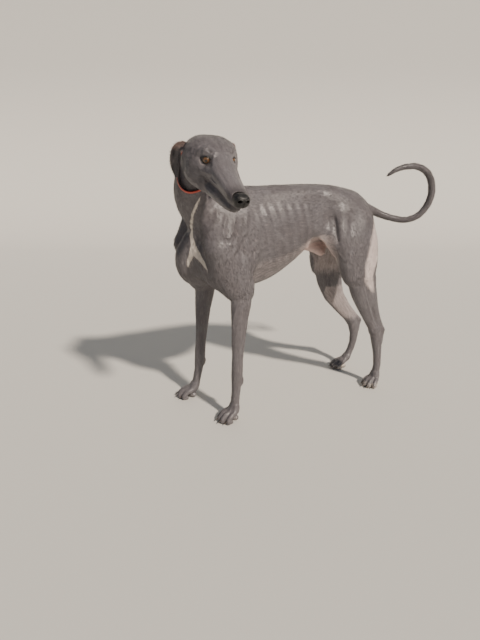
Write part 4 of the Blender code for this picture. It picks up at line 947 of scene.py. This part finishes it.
def lid(side):
    """The bare rim round the eye: rows of almonds that grow outwards while they rise from inside the
    eyeball's surface over the edge of the lid and sink under the skin, closed underneath."""
    turn = np.linspace(0, 2 * np.pi, 120, endpoint=False)
    almond_x = np.cos(turn)
    tall = np.where(np.sin(turn) > 0, LID_HALF[1], LID_HALF[2])
    almond_z = np.sign(np.sin(turn)) * tall * np.abs(np.sin(turn)) ** 1.5
    rows = []
    for grow, rise in ((0.93, -0.0004), (0.96, 0.0003), (0.985, 0.0009), (1.02, 0.00145), (1.07, 0.0018),
                       (1.14, 0.0019), (1.22, 0.0016), (1.32, 0.0008), (1.30, -0.0008), (1.10, -0.0012)):
        x, z = grow * LID_HALF[0] * almond_x, grow * almond_z
        r = EYE_R + rise
        deep = np.sqrt(np.maximum(r ** 2 - x ** 2 - z ** 2, (0.18 * EYE_R) ** 2))
        rows.append(np.c_[x, -deep, z])
    grid = np.stack(rows, 1)
    points, faces = ring_mesh(from_eye(grid, side))
    return new_object("lid_left" if side > 0 else "lid_right", points, faces)


def nose_leather():
    """A block with rounded corners, |x/a|^p + |y/b|^p + |z/c|^p = 1, with comma-shaped nostrils and a furrow
    between them pressed in, each along its own path."""
    centre = np.array((0.0, -0.1425, -0.0255))
    rows, cols = 150, 220
    tilt = np.linspace(0.004, np.pi - 0.004, rows)[:, None]
    turn = np.linspace(0, 2 * np.pi, cols, endpoint=False)[None, :]
    way = np.stack([np.sin(tilt) * np.cos(turn), -np.cos(tilt) * np.ones_like(turn),
                    np.sin(tilt) * np.sin(turn)], -1)
    half = np.stack([np.full((rows, cols), 0.0186), np.full((rows, cols), 0.0165),
                     np.where(way[..., 2] > 0, 0.0148, 0.0165)], -1)
    size = (np.abs(way / half) ** 2.35).sum(-1) ** (-1 / 2.35)
    points = (centre + way * size[..., None]).reshape(-1, 3)
    narrow = 1 - 0.16 * smooth(-0.150, -0.158, points[:, 1])
    points[:, 0] *= narrow
    for side in (1, -1):
        path = np.array(((0.0066, -0.1565, -0.0225), (0.0086, -0.1560, -0.0228), (0.0112, -0.1530, -0.0250),
                         (0.0145, -0.1495, -0.0285), (0.0170, -0.1440, -0.0300), (0.0180, -0.1380, -0.0300)))
        path[:, 0] *= side
        gap, place = to_path(points, path)
        wide = np.interp(place, (0, 0.15, 0.35, 0.6, 1.0), (0.0027, 0.0031, 0.0021, 0.0012, 0.0007))
        deep = np.interp(place, (0, 0.2, 0.5, 0.8, 1.0), (0.0085, 0.0080, 0.0036, 0.0018, 0.0))
        inward = unit(np.array((-side * 0.15, 1.0, -0.10)))
        hollow = 1 - smooth(0.45, 1.05, gap / wide)
        rim = np.exp(-((gap / wide - 1.45) / 0.5) ** 2) * 0.0005
        points += (hollow * deep)[:, None] * inward - rim[:, None] * inward
    front = smooth(-0.150, -0.154, points[:, 1])
    furrow = np.exp(-(points[:, 0] / 0.0009) ** 2) * front * smooth(-0.020, -0.026, points[:, 2])
    points[:, 1] += 0.0012 * furrow
    points[:, 2] -= 0.0006 * np.exp(-(points[:, 0] / 0.005) ** 2) * smooth(-0.016, -0.012, points[:, 2])
    mesh_points, faces = tube_mesh(from_head(points).reshape(rows, cols, 3))
    return new_object("nose_leather", mesh_points, faces)


def claws():
    """Curved cones of horn over each claw's middle line, rounded at the tip."""
    pieces = []
    for path, size in claw_paths():
        t = np.linspace(0, 1, 18)
        line = np.stack([np.interp(t * 11, np.arange(12), path[:, k]) for k in range(3)], 1)
        radius = (CLAW_R * size + 0.0002) * (1 - 0.72 * t ** 1.5) * np.sqrt(np.clip((1.02 - t) / 0.06, 0, 1))
        grid = tube_along(line, radius, 20, 0.86)
        points, faces = tube_mesh(grid)
        points[:, 2] = np.maximum(points[:, 2], 0.0003)
        along = np.concatenate([np.repeat(t, 20), [0, 1]])
        pieces.append((points, faces, along))
    return joined("claws", pieces)


def joined(name, pieces):
    """One object from many small closed ones, each given as points, faces and a number along it."""
    start, points, faces, along = 0, [], [], []
    for p, f, a in pieces:
        faces += [[i + start for i in face] for face in f]
        points.append(p)
        along.append(a)
        start += len(p)
    obj = new_object(name, np.concatenate(points), faces)
    values_on(obj, "along", np.concatenate(along))
    return obj


def collar_reach(way, tree):
    """How far out the collar's solid starts and ends along each way from its middle."""
    inner, outer = [], []
    place = Vector(COLLAR_PLACE + ORIGIN)
    for w in way:
        hit = tree.ray_cast(place, Vector(w))[0]
        inner.append((hit - place).length)
        far = place + Vector(w) * 0.2
        hit = tree.ray_cast(far, -Vector(w))[0]
        outer.append((hit - place).length)
    return np.array(inner), np.array(outer)


def collar():
    """A band of webbing on the solid's own path: a rounded strip carried round the neck, with two rows of
    stitches, the keeper and the ring."""
    first = unit(np.cross(COLLAR_AXIS, (0, 0, 1.0)))
    second = np.cross(COLLAR_AXIS, first)
    turn = np.linspace(0, 2 * np.pi, 240, endpoint=False)
    way = np.cos(turn)[:, None] * first + np.sin(turn)[:, None] * second
    points, faces = solid_surface("collar")
    tree = BVHTree.FromPolygons([Vector(p) for p in points + ORIGIN], faces.tolist())
    inner, outer = collar_reach(way, tree)
    # The keeper stands out of the band, and its rays are left out of the band's own path
    keeper = outer - inner > 0.0035
    level = np.interp(turn, turn[~keeper], inner[~keeper], period=2 * np.pi)
    kernel = np.hanning(9) / np.hanning(9).sum()
    level = np.convolve(np.r_[level[-4:], level, level[:4]], kernel, "valid")
    half, thick = COLLAR_WIDTH / 2, 0.0020
    round_ = np.linspace(0, 2 * np.pi, 36, endpoint=False)
    across = half * np.sign(np.cos(round_)) * np.abs(np.cos(round_)) ** 0.35
    out = thick / 2 * np.sign(np.sin(round_)) * np.abs(np.sin(round_)) ** 0.55
    # Each edge is pressed a little flatter, and the middle swells
    out *= 1 - 0.25 * (np.abs(across) / half) ** 3
    grid = (COLLAR_PLACE + (level[:, None] + thick / 2 + out)[..., None] * way[:, None]
            + across[None, :, None] * COLLAR_AXIS)
    points, faces = ring_mesh(grid)
    band = new_object("collar_band", points, faces)
    values_on(band, "edge", np.tile(0.7 * smooth(0.80, 1.0, np.abs(across) / half), len(turn)))
    uv = band.data.uv_layers.new(name="band")
    loops = np.empty(len(band.data.loops), np.int32)
    band.data.loops.foreach_get("vertex_index", loops)
    run = np.cumsum(level * 2 * np.pi / len(turn))
    rows, cols = loops // 36, loops % 36
    uv.data.foreach_set("uv", np.c_[run[rows], across[cols]].astype(np.float32).ravel())
    ridge = []
    for edge in (-0.62, 0.62):
        for i in range(0, 240, 3):
            j = np.linspace(i, i + 1.9, 5)
            a = np.interp(j, np.arange(243), np.r_[turn, turn[:3] + 2 * np.pi])
            w = np.cos(a)[:, None] * first + np.sin(a)[:, None] * second
            r = np.interp(j, np.arange(243), np.r_[level, level[:3]]) + thick * 0.93
            r = r + 0.0003 * np.sin(np.linspace(0, np.pi, 5)) - 0.00012
            line = COLLAR_PLACE + r[:, None] * w + edge * half * COLLAR_AXIS
            p, f = tube_mesh(tube_along(line, 0.00022, 6))
            ridge.append((p, f, np.zeros(len(p))))
    stitches = joined("collar_stitches", ridge)
    nape = int(np.argmax(way @ np.array((-0.6, 0.2, 0.77))))
    spot = COLLAR_PLACE + (level[nape] + thick + KEEPER_R - 0.0009) * way[nape]
    hinge = unit(np.cross(way[nape], COLLAR_AXIS))
    keeper_points, keeper_faces = ring_mesh(torus(spot, hinge, KEEPER_R, 0.0012, 48, 20))
    loop = new_object("collar_keeper", keeper_points, keeper_faces)
    ring_points, _ = solid_surface("collar_ring")
    middle = (ring_points.max(0) + ring_points.min(0)) / 2
    normal = np.linalg.svd(ring_points - middle, full_matrices=False)[2][2]
    ring_grid = torus(middle, normal, RING_R, RING_WIRE, 96, 24)
    ring = new_object("lead_ring", *ring_mesh(ring_grid))
    return band, stitches, loop, ring


def torus(centre, axis, major, minor, around, tube):
    """A ring: a circle of radius minor carried round a circle of radius major."""
    axis = unit(np.asarray(axis, float))
    u = unit(np.cross(axis, (0.31, 0.17, 0.94)))
    v = np.cross(axis, u)
    a = np.linspace(0, 2 * np.pi, around, endpoint=False)[:, None, None]
    b = np.linspace(0, 2 * np.pi, tube, endpoint=False)[None, :, None]
    out = np.cos(a) * u + np.sin(a) * v
    return centre + (major + minor * np.cos(b)) * out + minor * np.sin(b) * axis


def scattered(points, faces, weight, count):
    """count places spread over the triangles by area and weight: the triangle of each, and its point."""
    corners = points[faces]
    area = np.linalg.norm(np.cross(corners[:, 1] - corners[:, 0], corners[:, 2] - corners[:, 0]), axis=1)
    share = np.cumsum(area * weight[faces].mean(1))
    # Even steps with a random offset, so that neither bare nor crowded patches form
    step = (np.arange(count) + RANDOM.random(count)) / count * share[-1]
    pick = np.minimum(np.searchsorted(share, step), len(faces) - 1)
    a, b = np.sqrt(RANDOM.random(count)), RANDOM.random(count)
    mix = np.c_[1 - a, a * (1 - b), a * b]
    return pick, mix, (corners[pick] * mix[:, :, None]).sum(1)


def tufts(name, skin, marks, lie, weight, count, length, width, lift, unwrap):
    """Thin closed wisps that lie on the skin: each is a flattened spike of four triangles, from a root sunk in
    the skin to a tip a little above it, pointing along the hair's lie with a few degrees of scatter."""
    _, points, faces, normals = skin
    pick, mix, root = scattered(points, faces, weight, count)
    normal = unit((normals[faces[pick]] * mix[:, :, None]).sum(1))
    straight, way = lie(root)
    way = unit(way - (way * normal).sum(1, keepdims=True) * normal + 0.10 * RANDOM.normal(size=root.shape))
    side = unit(np.cross(normal, way))
    size = length(root) * RANDOM.uniform(0.75, 1.25, count)
    half = width(root) * RANDOM.uniform(0.7, 1.2, count) / 2
    rise = lift(root) * RANDOM.uniform(0.5, 1.3, count)
    root = root - 0.0004 * normal
    tip = root + way * size[:, None] + normal * (0.0004 + rise)[:, None]
    corners = np.stack([root - side * half[:, None], root + side * half[:, None],
                        root + normal * (0.45 * half + 0.0002)[:, None] + way * (0.2 * size)[:, None], tip], 1)
    corners[..., 2] = np.maximum(corners[..., 2], 0.0002)
    first = np.arange(count)[:, None, None] * 4
    shape = np.array(((0, 3, 2), (2, 3, 1), (1, 3, 0), (0, 2, 1)))
    tuft_faces = (first + shape).reshape(-1, 3)
    coat = new_object(name, corners.reshape(-1, 3), tuft_faces)
    for layer, values in marks(root, normal).items():
        values_on(coat, layer, np.repeat(values, 4))
    values_on(coat, "lie", np.repeat(straight, 4, axis=0))
    values_on(coat, "shade", np.repeat(RANDOM.uniform(0, 0.35, count) ** 1.3, 4))
    uv = coat.data.uv_layers.new(name="OFBake")
    at = unwrap(root)
    patch = np.array(((-0.0015, -0.0015), (0.0015, -0.0015), (0.0, 0.0), (0.0, 0.0015)))
    corner_uv = (at[:, None] + patch).reshape(-1, 2)
    uv.data.foreach_set("uv", corner_uv[tuft_faces.ravel()].astype(np.float32).ravel())
    return coat


def unwrapped(points, way, box):
    """The skin's unwrap: how far along the body and how far round it each point is, in a part's own box."""
    low, high = box
    along = points @ way
    middle = (points.max(0) + points.min(0)) / 2
    first = unit(np.cross(way, (0.2, 0.1, 0.97)))
    second = np.cross(way, first)
    off = points - middle
    round_ = np.arctan2(off @ second, off @ first) / (2 * np.pi) + 0.5
    spread_ = (along - along.min()) / np.ptp(along)
    return np.c_[low[0] + (high[0] - low[0]) * round_, low[1] + (high[1] - low[1]) * spread_]


def coat_pieces(body, head):
    out = []
    _, y, z = body[1].T
    _, _, gap, at = tail_lie(body[1])
    tail = (gap < 0.03) & (at > 0.06)
    leg = (z < 0.40) & ~tail
    regions = (
        ("coat_front", ~tail & ~leg & (y < -0.12), 44000, 0.0100, 0.0010, 0.00035, (0, 1, 0),
         ((0.02, 0.02), (0.48, 0.48))),
        ("coat_back", ~tail & ~leg & (y >= -0.12), 44000, 0.0110, 0.0010, 0.00040, (0, 1, 0),
         ((0.52, 0.02), (0.98, 0.48))),
        ("coat_legs", leg, 44000, 0.0075, 0.0008, 0.00030, (0, 0, 1), ((0.02, 0.52), (0.48, 0.98))),
        ("coat_tail", tail, 12000, 0.0110, 0.0007, 0.00030, (0, 1, 0), ((0.52, 0.52), (0.70, 0.98))),
    )
    for name, where, count, length, width, lift, way, box in regions:
        weight = where.astype(float) + (0.5 * (np.abs(body[3][:, 1]) > 0.6) * where)
        out.append(tufts(
            name, body, body_marks, body_lie, weight, count,
            lambda p, n=length: n * (0.45 + 0.55 * smooth(0.02, 0.12, p[:, 2])),
            lambda p, w=width: w * (0.6 + 0.4 * smooth(0.02, 0.12, p[:, 2])),
            lambda p, r=lift: r * (0.5 + 0.5 * smooth(0.02, 0.12, p[:, 2])),
            lambda p, w=np.array(way, float), b=box: unwrapped(p, w, b)))
    h = head_points(head[1])
    _, reach = eye_measure(h)
    keep = (reach > 1.7) & (h[:, 1] > -0.128)
    lips, _ = to_path(np.abs(h) * (1, 0, 0) + h * (0, 1, 1), mouth_line())
    keep &= lips > 0.003

    def grow(p):
        return smooth(-0.14, 0.06, head_points(p)[:, 1])

    out.append(tufts(
        "coat_head", head, head_marks, head_lie, keep.astype(float), 40000,
        lambda p: 0.0022 + 0.0048 * grow(p),
        lambda p: 0.0004 + 0.0004 * grow(p),
        lambda p: 0.00005 + 0.00015 * grow(p),
        lambda p: unwrapped(p, HEAD_TURN[:, 1], ((0.72, 0.52), (0.98, 0.98)))))
    return out


def whiskers(head):
    """Stiff hairs in rows on the muzzle, over the eyes and on the cheek: bent lines that thin to their tips."""
    roots = [(0.0215, -0.118 + 0.009 * i, -0.030 - 0.005 * j, 0.020 + 0.010 * RANDOM.random())
             for i in range(5) for j in range(3)]
    roots += [(0.0240, -0.006, 0.0185, 0.018), (0.0280, -0.002, 0.0190, 0.021), (0.0310, 0.002, 0.0185, 0.017)]
    roots += [(0.0360, -0.012, -0.0300, 0.024), (0.0350, -0.004, -0.0340, 0.020)]
    tree = BVHTree.FromPolygons([Vector(p) for p in head_points(head[1])], head[2].tolist())
    pieces = []
    t = np.linspace(0, 1, 14)
    for x, y, z, length in roots:
        for side in (1, -1):
            spot, normal, _, _ = tree.find_nearest(Vector((side * x, y, z)))
            out = unit(np.array(normal) + np.array((0, 0.35, -0.15)))
            bend = np.array((0, 0.55, -0.35))
            line = (np.array(spot) + length * (t[:, None] * out + 0.5 * t[:, None] ** 2 * bend)
                    - 0.0008 * np.array(normal))
            p, f = tube_mesh(tube_along(from_head(line), 0.00020 * (1 - 0.85 * t) + 0.00002, 5))
            pieces.append((p, f, np.concatenate([np.repeat(t, 5), [0, 1]])))
    return joined("whiskers", pieces)


def stage():
    """A pale floor that bends up into a wall behind the dog, daylight from high behind the camera's right
    shoulder, and the camera where the photo was taken from."""
    ahead, right = np.array(CAMERA_HEADING + (0.0,)), np.array((CAMERA_HEADING[1], -CAMERA_HEADING[0], 0.0))
    bend = np.linspace(0, math.pi / 2, 25)
    reach = np.r_[-6.0, 3.0 + 2.0 * np.sin(bend), 5.0]
    height = np.r_[0.0, 2.0 * (1 - np.cos(bend)), 7.0]
    rows = reach[:, None] * ahead + height[:, None] * (0, 0, 1)
    points = np.concatenate([rows - 9 * right, rows + 9 * right])
    i = np.arange(len(rows) - 1)
    floor = new_object("floor", points, np.stack([i, i + len(rows), i + len(rows) + 1, i + 1], 1))
    floor.data.materials.append(floor_material())
    world = bpy.context.scene.world or bpy.data.worlds.new("studio")
    bpy.context.scene.world = world
    world.use_nodes = True
    world.node_tree.nodes["Background"].inputs[0].default_value = linear("D3DEEC")
    world.node_tree.nodes["Background"].inputs[1].default_value = 0.30
    sun = bpy.data.lights.new("sun", "SUN")
    sun.energy, sun.angle, sun.color = 5.2, math.radians(4), linear("FFF1E0")[:3]
    lamp = bpy.data.objects.new("sun", sun)
    bpy.context.scene.collection.objects.link(lamp)
    lamp.rotation_euler = Vector(SUN_FROM).to_track_quat("Z", "Y").to_euler()
    data = bpy.data.cameras.new("camera")
    data.lens, data.sensor_width, data.clip_start = 26.16, 36.0, 0.05
    camera = bpy.data.objects.new("camera", data)
    bpy.context.scene.collection.objects.link(camera)
    camera.location = CAMERA_PLACE + ORIGIN
    look = Vector((CAMERA_HEADING[0] * math.cos(CAMERA_DOWN), CAMERA_HEADING[1] * math.cos(CAMERA_DOWN),
                   -math.sin(CAMERA_DOWN)))
    camera.rotation_euler = look.to_track_quat("-Z", "Y").to_euler()
    bpy.context.scene.camera = camera


def finished(obj, mat, slot, *nodes):
    """Gives a piece its material and its body, and hides the solids that it stands for; its slot is not used."""
    obj.data.materials.append(mat)
    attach(obj, "root")
    if nodes:
        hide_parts(*nodes)


def main():
    coat = coat_material()
    points, faces, flesh = body_skin()
    body = dressed_skin("skin", points, faces, -1, body_marks, body_lie)
    finished(body[0], coat, "coat", *flesh)
    points, faces = head_skin()
    head = dressed_skin("head_skin", points, faces, 1, head_marks, head_lie)
    finished(head[0], coat, "coat", "head", "jaw", "ear_left", "ear_right")
    rim = leather_material("lid_rim", "0E0C0D", "231E1F", 0.5, 0.0001, Roughness=0.30, Coat_Weight=0.5,
                           Coat_Roughness=0.12)
    eye = eye_material()
    for side, node in ((1, "eye_left"), (-1, "eye_right")):
        finished(eye_ball(side), eye, "eye", node)
        finished(lid(side), rim, "nose")
    nose = leather_material("nose_skin", "070607", "151213", 0.9, 0.00022, Roughness=0.42, Specular_IOR_Level=0.45,
                            Coat_Weight=0.15, Coat_Roughness=0.30)
    finished(nose_leather(), nose, "nose", "nose")
    finished(claws(), claw_material(), "nose")
    band, stitches, keeper, ring = collar()
    metal = ring_material()
    finished(band, webbing_material(), "collar", "collar")
    finished(stitches, thread_material(), "collar")
    finished(keeper, metal, "ring")
    finished(ring, metal, "ring", "collar_ring")
    finished(whiskers(head), hair_material(), "coat")
    for piece in coat_pieces(body, head):
        finished(piece, coat, "coat")
    stage()


main()
